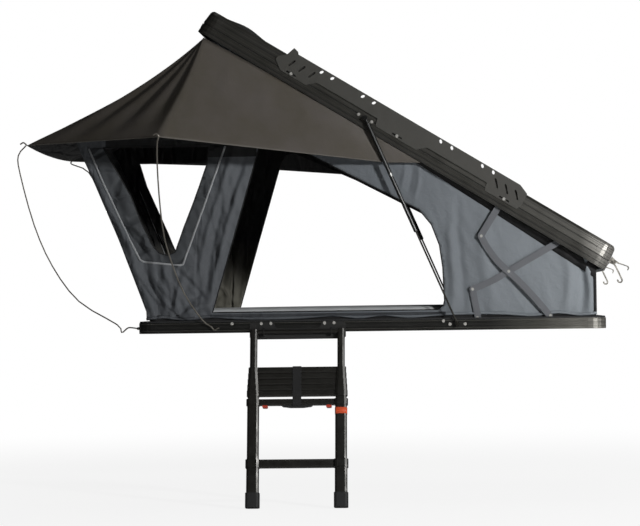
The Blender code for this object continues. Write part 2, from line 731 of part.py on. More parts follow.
def lid_pieces(hinge):
    low = SHUT_REAR[1]
    profile = [(inset, low + height) for inset, height in lid_profile(True)]
    plain = [(inset, low + height) for inset, height in lid_profile(False)]
    rear = SHUT_REAR[0]
    front = rear - LID_LENGTH
    for name, side in SIDES.items():
        shape = prism(profile, front + END_REACH + SEAT_GAP, rear - END_REACH - SEAT_GAP,
                      lambda inset, z, x: Vector((x, side * (HALF - inset), z)))
        rail = add("lid_rail_" + name, shape, "black_extrusion", parent=hinge)
        boss = disc(LUG_HALF_WIDTH, (LINK_A_PIN_SHUT[0], side * (HALF - LID_WALL + 0.001),
                                     LINK_A_PIN_SHUT[1] + LUG_HALF_WIDTH),
                    (0, -side, 0), 0.001 + LINK_A_LAYER - LUG_GAP - LID_WALL)
        lug = rail_lug(ARM_B_PIN_SHUT, side, ARM_B_LAYER + ARM_THICKNESS + LUG_GAP, low + LID_SHELF + 0.002)
        bracket = strut_bracket(lid_xz(STRUT_LID_STATION, STRUT_LID_HEIGHT), side)
        fuse(rail, boss, lug, *bracket)
    for name, edge, inner in (("front", front, front + END_REACH), ("rear", rear, rear - END_REACH)):
        add("lid_end_" + name, rim_sweep(plain, inner, edge), "black_extrusion", parent=hinge)

    # The skin, with a low wind hump across it near the front
    top = low + LID_HEIGHT
    start = front + LID_RIM + SEAT_GAP
    end = rear - LID_RIM - SEAT_GAP
    hump_start = front + HUMP_FROM_FRONT
    outline = [(start, top - LID_SKIN), (end, top - LID_SKIN), (end, top)]
    for i in range(12, -1, -1):
        rise = HUMP_HEIGHT * (1 - math.cos(2 * math.pi * i / 12)) / 2
        outline.append((hump_start + HUMP_LENGTH * i / 12, top + rise))
    outline.append((start, top))
    half = HALF - LID_RIM - SEAT_GAP
    corner = 0.030
    skin = add("lid_skin", prism(outline, -half, half, lambda x, z, y: Vector((x, y, z))), "black_sheet",
               parent=hinge)
    corners = []
    for x, out in ((start, -1), (end, 1)):
        for side in (-1, 1):
            tip = (x + out * 0.001, side * (half + 0.001))
            arc = [(x - out * corner + out * corner * math.sin(a),
                    side * (half - corner + corner * math.cos(a)))
                   for a in (0, math.pi / 6, math.pi / 3, math.pi / 2)]
            edge = [(arc[0][0], tip[1])] + arc + [(tip[0], arc[-1][1])]
            corners.append(prism([tip] + edge, top - LID_SKIN - 0.001, top + HUMP_HEIGHT,
                                 lambda a, b, c: Vector((a, b, c))))
    cut(skin, *corners)


def rack_outline():
    """The side plate's edge in lid stations and heights: two notches below, a horn at the front."""
    bottom = [(RACK_REAR, RACK_BOTTOM + 0.026), (RACK_REAR + 0.012, RACK_BOTTOM)]
    for start, end in RACK_NOTCHES:
        bottom += [(start - 0.006, RACK_BOTTOM), (start, RACK_BOTTOM + 0.012),
                   (start + 0.004, RACK_NOTCH_TOP),
                   (end - 0.030, RACK_NOTCH_TOP), (end, RACK_BOTTOM + 0.010), (end + 0.008, RACK_BOTTOM)]
    front = [(RACK_FRONT - 0.046, RACK_BOTTOM), (RACK_FRONT, RACK_BOTTOM + 0.034),
             (RACK_FRONT - 0.004, RACK_BOTTOM + 0.052),
             (RACK_FRONT - 0.036, RACK_TOP - 0.026), (RACK_FRONT - 0.050, RACK_TOP + RACK_HORN),
             (RACK_FRONT - 0.074, RACK_TOP + RACK_HORN - 0.006), (RACK_FRONT - 0.082, RACK_TOP)]
    rear = [(RACK_REAR + 0.052, RACK_TOP), (RACK_REAR + 0.004, RACK_TOP - 0.020)]
    return bottom + front + rear


def make_rack_plates(hinge):
    holes = []
    groups = zip((RACK_REAR, RACK_FRONT), RACK_SLOTS)
    for end, (shift, lean, length, edge_stations, edge_lean, drop) in groups:
        for i in range(3):
            centre = (end + shift + RACK_SLOT_PITCH * i, RACK_SLOT_HEIGHT)
            holes.append(slot_outline(centre, length, RACK_SLOT_WIDTH, lean, 3))
        for station in edge_stations:
            holes.append(slot_outline((station, RACK_TOP - drop), 0.021, 0.011, edge_lean, 2))
    bolt_height = RACK_BOTTOM + 0.011
    bolts = (RACK_REAR + 0.084, (RACK_NOTCHES[0][1] + RACK_NOTCHES[1][0]) / 2 + 0.002, RACK_FRONT - 0.097)
    for station in bolts:
        holes.append(slot_outline((station, bolt_height), RACK_BOLT_SLOT, 0.008, 0.0, 2))
    low = 0.0005
    for name, side in SIDES.items():
        def place(station, height, out, side=side):
            x, z = lid_xz(station, height)
            return Vector((x, side * (HALF + out), z))
        plate = add("rack_plate_" + name, prism(rack_outline(), low, low + RACK_THICKNESS, place, holes),
                    "black_sheet",
                    parent=hinge)
        heads = []
        for station in bolts:
            heads.append(disc(0.007, place(station, bolt_height, low + RACK_THICKNESS - 0.0005),
                              (0, side, 0), 0.003, 10))
        fuse(plate, *heads)


def make_latches(hinge):
    """A bracket on the lid's rear edge, a hand lever and a bent wire hook on each side."""
    rear = SHUT_REAR[0]
    low = SHUT_REAR[1] + LATCH_LIFT
    for name, side in SIDES.items():
        middle = side * (HALF - LATCH_FROM_SIDE)

        def place(x, z, y, middle=middle):
            return Vector((rear + x, middle + y, low + z))

        half = LATCH_WIDTH / 2
        body = add("latch_body_" + name, prism([(0.0004, 0.004), (0.0034, 0.004), (0.0034, 0.042),
                                                (0.0004, 0.042)],
                                               -half, half, place), "steel", parent=hinge)
        ears = []
        for out in (-half, half - 0.002):
            ears.append(prism([(0.003, 0.010), (0.026, 0.014), (0.030, 0.024), (0.026, 0.034),
                               (0.003, 0.040)],
                              out, out + 0.002, place))
        pins = []
        for x, z in (LATCH_LEVER_PIN, LATCH_HOOK_PIN):
            start = place(x, z, -half + 0.001)
            pins.append(disc(LATCH_PIN_RADIUS, start, (0, 1, 0), LATCH_WIDTH - 0.002, 10))
        bolts = [disc(0.004, place(0.0032, z, 0), (1, 0, 0), 0.002, 8) for z in (0.012, 0.034)]
        fuse(body, *ears, *pins, *bolts)

        hole = LATCH_PIN_RADIUS + LUG_GAP
        lever_half = half - 0.0026
        lever = [(0.0165, 0.0265), (0.0255, 0.0245), (0.040, 0.0280), (0.022 + LATCH_LEVER_LENGTH, 0.0380),
                 (0.090, 0.0330), (0.0915, 0.0235), (0.0945, 0.0240), (0.0935, 0.0365), (0.085, 0.0415),
                 (0.040, 0.0335), (0.024, 0.0352), (0.0165, 0.0340)]
        add("latch_lever_" + name, prism(lever, -lever_half, lever_half, place,
                                         [circle(hole, 10, LATCH_LEVER_PIN)]),
            "steel", origin=place(*LATCH_LEVER_PIN, 0), parent=hinge)

        x, z = LATCH_HOOK_PIN
        route = [(x, z), (x + 0.018, z - 0.009), (x + LATCH_HOOK_LENGTH * 0.8, z - 0.036),
                 (x + LATCH_HOOK_LENGTH, z - 0.047),
                 (x + LATCH_HOOK_LENGTH, z - 0.057), (x + LATCH_HOOK_LENGTH - 0.009, z - 0.062),
                 (x + LATCH_HOOK_LENGTH - 0.018, z - 0.057)]
        path = [tuple(p) for p in smooth_path(route, 2)]
        hook = prism(strip_outline(path, 2 * LATCH_HOOK_RADIUS, 6), -0.004, 0.004, place,
                     [circle(hole, 10, LATCH_HOOK_PIN)])
        add("latch_hook_" + name, hook, "steel", origin=place(x, z, 0), parent=hinge)


# Scissor hinge and struts


def arm_path(points, bow):
    """A bar's centre line through its pins, each stretch bowed to one side."""
    path = []
    for (start, end), side in zip(zip(points, points[1:]), bow):
        across = heading(start, end) + math.pi / 2
        middle = step(((start[0] + end[0]) / 2, (start[1] + end[1]) / 2), side, across)
        for i in range(6):
            t = i / 6
            path.append(tuple((1 - t) ** 2 * a + 2 * t * (1 - t) * (2 * m - (a + b) / 2) + t ** 2 * b
                              for a, m, b in zip(start, middle, end)))
    path.append(points[-1])
    return path


def hinge_bar(name, side, points, bow, layer, raised, origin):
    """One flat bar of the scissor. raised lists (pin, +1 outer face or -1 inner face) for its pin heads."""
    bar = prism(strip_outline(arm_path(points, bow), ARM_WIDTH), layer, layer + ARM_THICKNESS,
                side_place(side))
    obj = add(name, bar, "grey_arm", origin=(origin[0], side * (HALF - layer), origin[1]))
    heads = []
    for (x, z), face in raised:
        inset = layer + 0.0005 if face > 0 else layer + ARM_THICKNESS - 0.0005
        heads.append(disc(PIN_RADIUS, (x, side * (HALF - inset), z), (0, side * face, 0), PIN_HEAD + 0.0005))
    for i, head in enumerate(heads):
        combine(obj, head, "UNION", "_pin%d" % i)


def make_scissors():
    for name, side in SIDES.items():
        hinge_bar("arm_a_" + name, side, (ARM_A_PIN, MID_PIN, TOP_ELBOW), (-ARM_BOW / 2, ARM_BOW),
                  ARM_A_LAYER,
                  ((ARM_A_PIN, 1), (MID_PIN, 1), (TOP_ELBOW, 1)), ARM_A_PIN)
        hinge_bar("arm_b_" + name, side, (ARM_B_PIN, MID_PIN, LOW_ELBOW), (0.0, ARM_BOW / 2), ARM_B_LAYER,
                  ((MID_PIN, 1), (LOW_ELBOW, 1)), ARM_B_PIN)
        hinge_bar("link_a_" + name, side, (LINK_A_PIN, TOP_ELBOW), (0.0,), LINK_A_LAYER,
                  ((TOP_ELBOW, 1),), LINK_A_PIN)
        hinge_bar("link_b_" + name, side, (LINK_B_PIN, LOW_ELBOW), (0.0,), LINK_B_LAYER,
                  ((LINK_B_PIN, 1), (LOW_ELBOW, 1)), LINK_B_PIN)


def make_struts():
    """A cylinder hung from the lid and its rod from the tray; the rod runs in the cylinder's bore."""
    top = Vector((STRUT_LID_PIN[0], 0, STRUT_LID_PIN[1]))
    foot = Vector((STRUT_BASE_PIN[0], 0, STRUT_BASE_PIN[1]))
    down = (foot - top).normalized()
    length = (foot - top).length
    neck = STRUT_EYE_RADIUS - 0.001
    mouth = neck + STRUT_TUBE_LENGTH
    ring = mouth - 0.345
    for name, side in SIDES.items():
        shift = Vector((0, side * (HALF + STRUT_OFFSET), 0))
        profile = [(0, neck), (0.006, neck), (0.006, neck + 0.014), (STRUT_RADIUS, neck + 0.018),
                   (STRUT_RADIUS, ring), (STRUT_RADIUS + 0.0010, ring + 0.001),
                   (STRUT_RADIUS + 0.0010, ring + 0.013),
                   (STRUT_RADIUS, ring + 0.014), (STRUT_RADIUS, mouth - 0.004), (STRUT_RADIUS - 0.002, mouth),
                   (STRUT_BORE, mouth), (STRUT_BORE, neck + 0.030), (0, neck + 0.026)]
        body = add("strut_cylinder_" + name, turned(profile, 14, top + shift, down), "black_extrusion",
                   origin=top + shift)
        eye_start = top + shift - Vector((0, side * STRUT_EYE_WIDTH / 2 - side * LUG_GAP, 0))
        eye = disc(STRUT_EYE_RADIUS, eye_start, (0, side, 0), STRUT_EYE_WIDTH - LUG_GAP, 14)
        combine(body, eye, "UNION", "_eye")

        rod_start = mouth - STRUT_ROD_INSIDE
        rod_profile = [(0, rod_start), (STRUT_ROD_RADIUS, rod_start),
                       (STRUT_ROD_RADIUS, length - neck - 0.014),
                       (0.006, length - neck - 0.012), (0.006, length - neck), (0, length - neck)]
        rod = add("strut_rod_" + name, turned(rod_profile, 12, top + shift, down), "steel",
                  origin=foot + shift)
        eye_start = foot + shift - Vector((0, side * STRUT_EYE_WIDTH / 2 - side * LUG_GAP, 0))
        combine(rod, disc(STRUT_EYE_RADIUS, eye_start, (0, side, 0), STRUT_EYE_WIDTH - LUG_GAP, 14),
                "UNION", "_eye")


# Fabric


def sheet_solid(grid, thickness):
    """A closed solid from a grid of (middle point, outward direction), half the thickness to each side."""
    outer = [[p + n * thickness / 2 for p, n in row] for row in grid]
    inner = [[p - n * thickness / 2 for p, n in row] for row in grid]
    bm = bmesh.new()
    rows = len(grid)
    columns = len(grid[0])
    a = [[bm.verts.new(p) for p in row] for row in outer]
    b = [[bm.verts.new(p) for p in row] for row in inner]
    for i in range(rows - 1):
        for j in range(columns - 1):
            bm.faces.new((a[i][j], a[i][j + 1], a[i + 1][j + 1], a[i + 1][j]))
            bm.faces.new((b[i][j], b[i + 1][j], b[i + 1][j + 1], b[i][j + 1]))
    for i in range(rows - 1):
        for j in (0, columns - 1):
            bm.faces.new((a[i][j], a[i + 1][j], b[i + 1][j], b[i][j]))
    for j in range(columns - 1):
        for i in (0, rows - 1):
            bm.faces.new((a[i][j], b[i][j], b[i][j + 1], a[i][j + 1]))
    bmesh.ops.recalc_face_normals(bm, faces=bm.faces)
    return bm


def roof_line(x, height):
    """How high the open lid's level of that height is above a place along the tray."""
    start = open_xz(0, height)
    return start[1] + (start[0] - x) * math.tan(OPEN_ANGLE)


WALL_TOP_FRONT = open_xz(LID_LENGTH - RAIL_DEPTH - 0.010, WALL_LID_HEIGHT)
WALL_UNDER_LID = open_xz(LID_LENGTH - RAIL_DEPTH - 0.004, -0.008)
WALL_HOOD_TIP = (FRONT - WALL_FRONT_REACH, WALL_FRONT_TOP)
WALL_FOOT = (FRONT + WALL_FRONT_FOOT, SHELF_HEIGHT + SEAT_GAP)
WALL_REAR = REAR - WALL_REAR_INSET


def wall_folds(x, z):
    """Gentle pulls fanning from the tray's front corner, and beside the door."""
    angle = math.atan2(z, x - FRONT - 0.20)
    front = math.exp(-((x - FRONT - 0.05) / 0.35) ** 2)
    return WALL_FOLD * (front * math.sin(9 * angle) * min(1.0, z / 0.15) - 0.4 * front)


def make_side_walls():
    foot = WALL_FOOT[1]
    outline = [WALL_FOOT, (WALL_REAR, foot), (WALL_REAR, roof_line(WALL_REAR, WALL_LID_HEIGHT)),
               WALL_TOP_FRONT, WALL_UNDER_LID, WALL_HOOD_TIP]
    window = [(0.085, 0.345), (0.205, 0.335), (0.365, 0.835), (0.340, 0.860), (-0.130, 0.870),
              (-0.150, 0.845)]
    window = [(FRONT + x, z) for x, z in window]
    for name, side in SIDES.items():
        rise = DOOR_RISES[name]
        door = [(0.346, DOOR_SILL), (1.395, DOOR_SILL + 0.018), (1.418, DOOR_SILL + 0.042),
                (1.414, 0.290 + rise),
                (1.400, 0.393 + rise), (1.365, 0.487 + rise), (1.309, 0.557 + rise), (0.962, 0.739 + rise),
                (0.640, 0.908), (0.600, 0.900), (0.578, 0.870)]
        door = [(FRONT + x, z) for x, z in door]
        bm = bmesh.new()
        flat_faces(bm, [outline, window, door])
        for v in bm.verts:
            v.co = (v.co.x, 0, v.co.y)
        for i in range(1, 11):
            place = (FRONT - WALL_FRONT_REACH + i * 0.095, 0, 0)
            geometry = bm.verts[:] + bm.edges[:] + bm.faces[:]
            bmesh.ops.bisect_plane(bm, geom=geometry, plane_co=place, plane_no=(1, 0, 0))
        for i in range(1, 9):
            geometry = bm.verts[:] + bm.edges[:] + bm.faces[:]
            bmesh.ops.bisect_plane(bm, geom=geometry, plane_co=(0, 0, i * 0.107), plane_no=(0, 0, 1))
        bmesh.ops.triangulate(bm, faces=bm.faces)
        top = bmesh.ops.extrude_face_region(bm, geom=bm.faces[:] + bm.edges[:] + bm.verts[:])
        lifted = {v for v in top["geom"] if isinstance(v, bmesh.types.BMVert)}
        for v in bm.verts:
            fold = wall_folds(v.co.x, v.co.z)
            inset = WALL_INSET - fold + (CLOTH if v in lifted else 0.0)
            v.co.y = side * (HALF - inset)
        bmesh.ops.recalc_face_normals(bm, faces=bm.faces)
        add("wall_" + name, bm, "wall_cloth")


def bent_sheet(corners, half, thickness, columns=8):
    """A sheet that follows a bent line in x and z and runs straight across in y."""
    grid = []
    for i, (x, z) in enumerate(corners):
        ahead = corners[min(i + 1, len(corners) - 1)]
        behind = corners[max(i - 1, 0)]
        along = Vector((ahead[0] - behind[0], 0, ahead[1] - behind[1])).normalized()
        normal = Vector((-along.z, 0, along.x))
        grid.append([(Vector((x, half * (2 * j / columns - 1), z)), normal) for j in range(columns + 1)])
    return sheet_solid(grid, thickness)


def make_end_walls():
    half = HALF - WALL_INSET - CLOTH - WALL_FOLD * 1.5
    line = [(WALL_FOOT[0] + 0.003, WALL_FOOT[1] + 0.001)]
    for i in range(1, 6):
        t = i / 5
        line.append((WALL_FOOT[0] + (WALL_HOOD_TIP[0] - WALL_FOOT[0]) * t + 0.003,
                     WALL_FOOT[1] + (WALL_HOOD_TIP[1] - WALL_FOOT[1]) * t))
    for i in range(1, 4):
        t = i / 3
        line.append((WALL_HOOD_TIP[0] + (WALL_UNDER_LID[0] - WALL_HOOD_TIP[0]) * t,
                     WALL_HOOD_TIP[1] + (WALL_UNDER_LID[1] - WALL_HOOD_TIP[1]) * t - 0.003))
    line.append((WALL_TOP_FRONT[0], WALL_TOP_FRONT[1]))
    add("wall_front", bent_sheet(line, half, CLOTH), "wall_cloth")
    rear = WALL_REAR - 0.002
    top = roof_line(rear, WALL_LID_HEIGHT)
    low = WALL_FOOT[1] + 0.001
    line = [(rear, low + (top - low) * i / 4) for i in range(5)]
    add("wall_rear", bent_sheet(line, half, CLOTH), "wall_cloth")


def fly_corners(side):
    """The fly's corners on one side: rear end, behind the strut, side rod tip, front rod tip."""
    under = -CLOTH * 0.6
    end_x, end_z = open_xz(FLY_END_STATION, under)
    rear = Vector((end_x, side * (HALF - 0.008), end_z))
    strut = Vector((STRUT_LID_PIN[0], 0, STRUT_LID_PIN[1]))
    foot = Vector((STRUT_BASE_PIN[0], 0, STRUT_BASE_PIN[1]))
    t = 0.215
    behind = strut.lerp(foot, t)
    behind.y = side * HALF
    tip = Vector((FRONT + FLY_SIDE_STATION, side * (HALF + FLY_SIDE_SPLAY), FLY_SIDE_HEIGHT))
    front = Vector((FRONT - FLY_FRONT_REACH, side * FLY_FRONT_HALF, FLY_FRONT_HEIGHT))
    return rear, behind, tip, front


def make_fly():
    """One sheet from the lid's lower edge to the hem: rows run down, columns run round from side to side."""
    columns = []
    strut_station = STRUT_LID_STATION + 0.010
    front_station = LID_LENGTH - FLY_SET_BACK

    def attach(station, y, drop=0.0):
        x, z = open_xz(station, -CLOTH * 0.6 - drop)
        return Vector((x, y, z))

    def half_round(side):
        rear, behind, tip, front = fly_corners(side)
        out = []
        for i in range(4):
            t = (i + 0.12) / 4.12
            station = FLY_END_STATION + (strut_station - FLY_END_STATION) * t
            out.append((attach(station, side * (HALF - 0.008)), rear.lerp(behind, t), 0.0))
        for i in range(10):
            t = i / 10
            station = strut_station + (front_station - strut_station) * t
            out.append((attach(station, side * (HALF - 0.008), FLY_FRONT_DROP * t ** 3),
                        behind.lerp(tip, t), t))
        for i in range(7):
            t = i / 6
            slide = attach(front_station, side * (HALF - 0.008 - 0.020 * t), FLY_FRONT_DROP)
            out.append((slide, tip.lerp(front, t), 1.0))
        return out

    near = half_round(-1)
    far = half_round(1)
    columns = list(near)
    first = near[-1]
    last = far[-1]
    for i in range(1, 8):
        t = i / 8
        columns.append((first[0].lerp(last[0], t), first[1].lerp(last[1], t), 1.0))
    columns += reversed(far)

    rows = 8
    middle_points = []
    for k in range(rows + 1):
        s = k / rows
        row = []
        for j, (top, hem, loose) in enumerate(columns):
            point = top.lerp(hem, s)
            drop = FLY_SAG * loose * 4 * s * (1 - s)
            ripple = FLY_FOLD * loose * math.sin(math.pi * s) ** 0.5 * math.cos(math.pi * j)
            point.z -= drop - ripple * 0.5
            row.append(point)
        middle_points.append(row)
    grid = []
    count = len(columns)
    for k in range(rows + 1):
        row = []
        for j in range(count):
            along = middle_points[k][min(j + 1, count - 1)] - middle_points[k][max(j - 1, 0)]
            down = middle_points[min(k + 1, rows)][j] - middle_points[max(k - 1, 0)][j]
            normal = along.cross(down)
            if normal.z < 0:
                normal = -normal
            row.append((middle_points[k][j], normal.normalized()))
        grid.append(row)
    add("fly", sheet_solid(grid, CLOTH), "fly_cloth")


def make_rods():
    """Bent spring steel: the foot turns in an eye on the tray, the tip is hooked round the fly's corner."""
    for name, side in SIDES.items():
        rear, behind, tip, front = fly_corners(side)
        y = side * (FLY_FRONT_HALF - 0.030)
        foot = (FRONT - ROD_EYE_REACH, y - side * 0.014, FRONT_ROD_HEIGHT)
        bend = (foot[0], y, foot[2])
        route = [bend, (FRONT - 0.047, y, 0.030), (FRONT - 0.062, y, 0.024), (FRONT - 0.086, y, 0.008)]
        for reach, out, height in FRONT_ROD_BOWS[name]:
            route.append((FRONT - reach, y + side * out, height))
        route += [(front.x - 0.0053, front.y, front.z - 0.001), (front.x - 0.0080, front.y, front.z + 0.008),
                  (front.x - 0.0180, front.y, front.z + 0.014), (front.x - 0.0320, front.y, front.z + 0.006)]
        tube("front_rod_" + name, [foot] + smooth_path(route, 3), ROD_RADIUS, "steel", foot)

        x = FRONT + SIDE_ROD_STATION
        y = side * (HALF + ROD_BOSS_LENGTH + 0.006)
        foot = (x, side * (HALF - 0.001), SIDE_ROD_HEIGHT)
        bend = (x, y, SIDE_ROD_HEIGHT)
        route = [bend, (x - 0.021, y, SIDE_ROD_HEIGHT - 0.009),
                 (x - 0.033, y + side * 0.003, SIDE_ROD_HEIGHT + 0.006),
                 (x - 0.074, y + side * 0.016, 0.063), (x - 0.149, y + side * 0.088, 0.189),
                 (x - 0.202, y + side * 0.175, 0.355), (x - 0.223, y + side * 0.258, 0.495),
                 (x - 0.228, y + side * 0.350, 0.694), (x - 0.221, y + side * 0.425, tip.z - 0.040),
                 (tip.x, tip.y + side * 0.0053, tip.z - 0.001),
                 (tip.x - 0.003, tip.y + side * 0.0075, tip.z + 0.009),
                 (tip.x - 0.013, tip.y + side * 0.0080, tip.z + 0.015),
                 (tip.x - 0.024, tip.y + side * 0.0060, tip.z + 0.008)]
        tube("side_rod_" + name, [foot] + smooth_path(route, 3), ROD_RADIUS, "steel", foot)


# Ladder


def tube_size(section):
    """Outer width and depth of a section's stile; section 1 is the lowest and widest."""
    grow = 2 * (TUBE_WALL + TUBE_CLEARANCE) * (STACK_COUNT + 3 - section)
    return TOP_TUBE_WIDTH + grow, TOP_TUBE_DEPTH + grow


def ladder_place(x, y, down):
    """A point of the ladder before it is tilted: down runs from the pivot towards the feet."""
    return Vector((FRONT + LADDER_CENTRE + x, -(HALF + LADDER_STAND_OFF) + y, LADDER_PIVOT_HEIGHT - down))


def stile(section, grow, low, high, side, shrink=0.0):
    width, depth = tube_size(section)
    outline = rounded_box(width + 2 * grow - 2 * shrink, depth + 2 * grow - 2 * shrink, 0.010 + grow - shrink)
    centre = side * LADDER_SPACING / 2
    return prism(outline, low, high, lambda x, y, down: ladder_place(centre + x, y, down))


def rung_outline(depth, tall):
    """A flat rung with a chamfered front and back and three shallow treads on top."""
    half = depth / 2
    edge = tall * 0.22
    outline = [(-half, edge), (-half + 0.004, 0.0)]
    for i in (-1, 0, 1):
        middle = i * depth * 0.25
        outline += [(middle - 0.0022, 0.0), (middle - 0.0012, 0.0010), (middle + 0.0012, 0.0010),
                    (middle + 0.0022, 0.0)]
    return outline + [(half - 0.004, 0.0), (half, edge), (half, tall - edge), (half - 0.004, tall),
                      (-half + 0.004, tall), (-half, tall - edge)]


def make_section(section, name, rung_top, rung_tall, bottom, tilt):
    """Two stiles with collars and one rung, all one piece; each stile is a tube open at both ends."""
    half_span = LADDER_SPACING / 2 - tube_size(section)[0] / 2 - COLLAR_PROUD + 0.002
    rung = prism(rung_outline(RUNG_DEPTH, rung_tall), -half_span, half_span,
                 lambda y, down, x: ladder_place(x, y, rung_top + down))
    piece = add(name, rung, "black_extrusion", parent=tilt, smooth=40)
    solids = []
    bores = []
    for side in (-1, 1):
        solids.append(stile(section, COLLAR_PROUD, rung_top, rung_top + rung_tall, side))
        solids.append(stile(section, 0.0, rung_top + rung_tall / 2, bottom, side))
        bores.append(stile(section, 0.0, rung_top - 0.002, bottom + 0.002, side, TUBE_WALL))
    fuse(piece, *solids)
    cut(piece, *bores)
    return piece


def make_ladder():
    pivot_place = ladder_place(0, 0, 0)
    tilt = pivot("ladder_pivot", pivot_place, -LADDER_TILT, "X")

    # Bracket on the rail, with two ears that the ladder's top bar hooks into
    reach = LADDER_SPACING / 2 + LADDER_BRACKET_MARGIN
    holes = [slot_outline((s * LADDER_SPACING * 0.174, 0.010), LADDER_SPACING * 0.149, 0.009)
             for s in (-1, 1)]

    def on_rail(x, z, out):
        return Vector((FRONT + LADDER_CENTRE + x, -(HALF + 0.0005 + out), z))

    bolts_at = (reach - 0.054, reach - 0.098)
    inner = bolts_at[1] - 0.012
    half = [(reach - 0.010, -0.032), (reach, -0.022), (reach, 0.038), (reach - 0.010, 0.048), (inner, 0.048),
            (inner - 0.012, 0.020)]
    outline = half + [(-x, z) for x, z in reversed(half)]
    bracket = add("ladder_bracket", prism(outline, 0.0, 0.003, on_rail, holes), "black_sheet")
    ears = []
    cradle = LADDER_BAR_RADIUS + LUG_GAP
    centre_y = LADDER_STAND_OFF - 0.0005
    for s in (-1, 1):
        hook = [(0.002, -0.016), (centre_y + 0.006, -0.016), (centre_y + cradle + 0.004, -0.004),
                (centre_y + cradle + 0.004, 0.014), (centre_y + cradle, 0.014),
                (centre_y + cradle, LADDER_PIVOT_HEIGHT)]
        for i in range(1, 8):
            a = -math.pi * i / 8
            hook.append((centre_y + cradle * math.cos(a), LADDER_PIVOT_HEIGHT + cradle * math.sin(a)))
        hook += [(centre_y - cradle, LADDER_PIVOT_HEIGHT), (centre_y - cradle, 0.014), (0.002, 0.022)]
        x = s * (LADDER_SPACING / 2 - LADDER_EAR_INSET)
        ears.append(prism(hook, x - LADDER_EAR_WIDTH / 2, x + LADDER_EAR_WIDTH / 2,
                          lambda out, z, along: on_rail(along, z, out)))
    bolts = []
    for x in bolts_at:
        bolts += [disc(0.006, on_rail(s * x, 0.041, 0.0025), (0, -1, 0), 0.003, 10) for s in (-1, 1)]
    fuse(bracket, *ears, *bolts)

    # Sections, from the top one that hangs on the bracket to the lowest with the feet
    top = STACK_COUNT + 3
    half_span = LADDER_SPACING / 2
    bar = disc(LADDER_BAR_RADIUS, ladder_place(-half_span, 0, 0), (1, 0, 0), 2 * half_span, 16)
    piece = add("ladder_section_%d" % top, bar, "black_extrusion", origin=pivot_place, parent=tilt, smooth=40)
    stiles = []
    bores = []
    for s in (-1, 1):
        stiles.append(stile(top, 0.0, -0.011, TOP_TUBE_LENGTH, s))
        bores.append(stile(top, 0.0, LADDER_BAR_RADIUS + 0.004, TOP_TUBE_LENGTH + 0.002, s, TUBE_WALL))
    for i, shape in enumerate(stiles):
        combine(piece, shape, "UNION", "_stile%d" % i)
    for i, shape in enumerate(bores):
        combine(piece, shape, "DIFFERENCE", "_bore%d" % i)

    for i in range(STACK_COUNT):
        section = top - 1 - i
        rung_top = STACK_TOP + STACK_PITCH * i
        make_section(section, "ladder_section_%d" % section, rung_top, STACK_PITCH - 0.0004,
                     rung_top + STACK_TUBE_LENGTH,
                     tilt)
    handle_tall = 0.0285
    make_section(2, "ladder_section_2", HANDLE_RUNG_TOP, handle_tall, BOTTOM_RUNG_TOP + 0.020, tilt)
    tube_end = LADDER_LENGTH - FOOT_SOLE - 0.002
    make_section(1, "ladder_section_1", BOTTOM_RUNG_TOP, 0.038, tube_end, tilt)

    for name, s in (("left", -1), ("right", 1)):
        width, depth = tube_size(1)
        foot_top = LADDER_LENGTH - FOOT_HEIGHT
        outline = rounded_box(width + 2 * FOOT_WALL, depth + 2 * FOOT_WALL, 0.012)
        centre = s * LADDER_SPACING / 2
        foot = add("ladder_foot_" + name, prism(outline, foot_top, LADDER_LENGTH,
                                                lambda x, y, down: ladder_place(centre + x, y, down)),
                   "rubber", parent=tilt)
        pocket = rounded_box(width + 2 * SEAT_GAP, depth + 2 * SEAT_GAP, 0.0103)
        cut(foot, prism(pocket, foot_top - 0.002, LADDER_LENGTH - FOOT_SOLE,
                        lambda x, y, down: ladder_place(centre + x, y, down)))

    # Carry grip under the handle rung, release sliders beside it and the strap that ties the stack
    under = HANDLE_RUNG_TOP + handle_tall + SEAT_GAP
    grip = [(-0.072, 0.0), (0.072, 0.0), (0.064, 0.006), (0.052, 0.007), (0.030, 0.010), (-0.030, 0.010),
            (-0.052, 0.007),
            (-0.064, 0.006)]
    add("carry_grip", prism(grip, -0.012, 0.012, lambda x, down, y: ladder_place(x, y, under + down)),
        "black_plastic", parent=tilt)
    for name, s in (("left", -1), ("right", 1)):
        centre = s * (LADDER_SPACING / 2 - 0.055)
        outline = slot_outline((centre, 0.006), 0.026, 0.012)
        add("release_slider_" + name, prism(outline, -0.013, 0.011,
                                            lambda x, down, y: ladder_place(x, y, under + down)),
            "red_plastic", origin=ladder_place(centre, 0, under), parent=tilt)
    front = -RUNG_DEPTH / 2 - SEAT_GAP
    strap = [(-0.020, STACK_TOP - 0.002), (0.020, STACK_TOP - 0.002), (0.020, under + 0.004),
             (-0.020, under + 0.004)]
    add("stack_strap", prism(strap, front - 0.002, front, lambda x, down, y: ladder_place(x, y, down)),
        "black_plastic", parent=tilt)


def clear_scene():
    for obj in list(bpy.data.objects):
        bpy.data.objects.remove(obj, do_unlink=True)


def main():
    clear_scene()
    make_tray()
    make_mattress()
    hinge = pivot("lid_pivot", (LID_POLE[0], 0, LID_POLE[1]), OPEN_ANGLE)
    lid_pieces(hinge)
    make_rack_plates(hinge)
    make_latches(hinge)
    make_scissors()
    make_struts()
    make_side_walls()
    make_end_walls()
    make_fly()
    make_rods()
    make_ladder()


main()
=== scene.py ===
import json
import math

import bmesh
import bpy
from mathutils import Matrix, Vector, noise
from mathutils.geometry import delaunay_2d_cdt

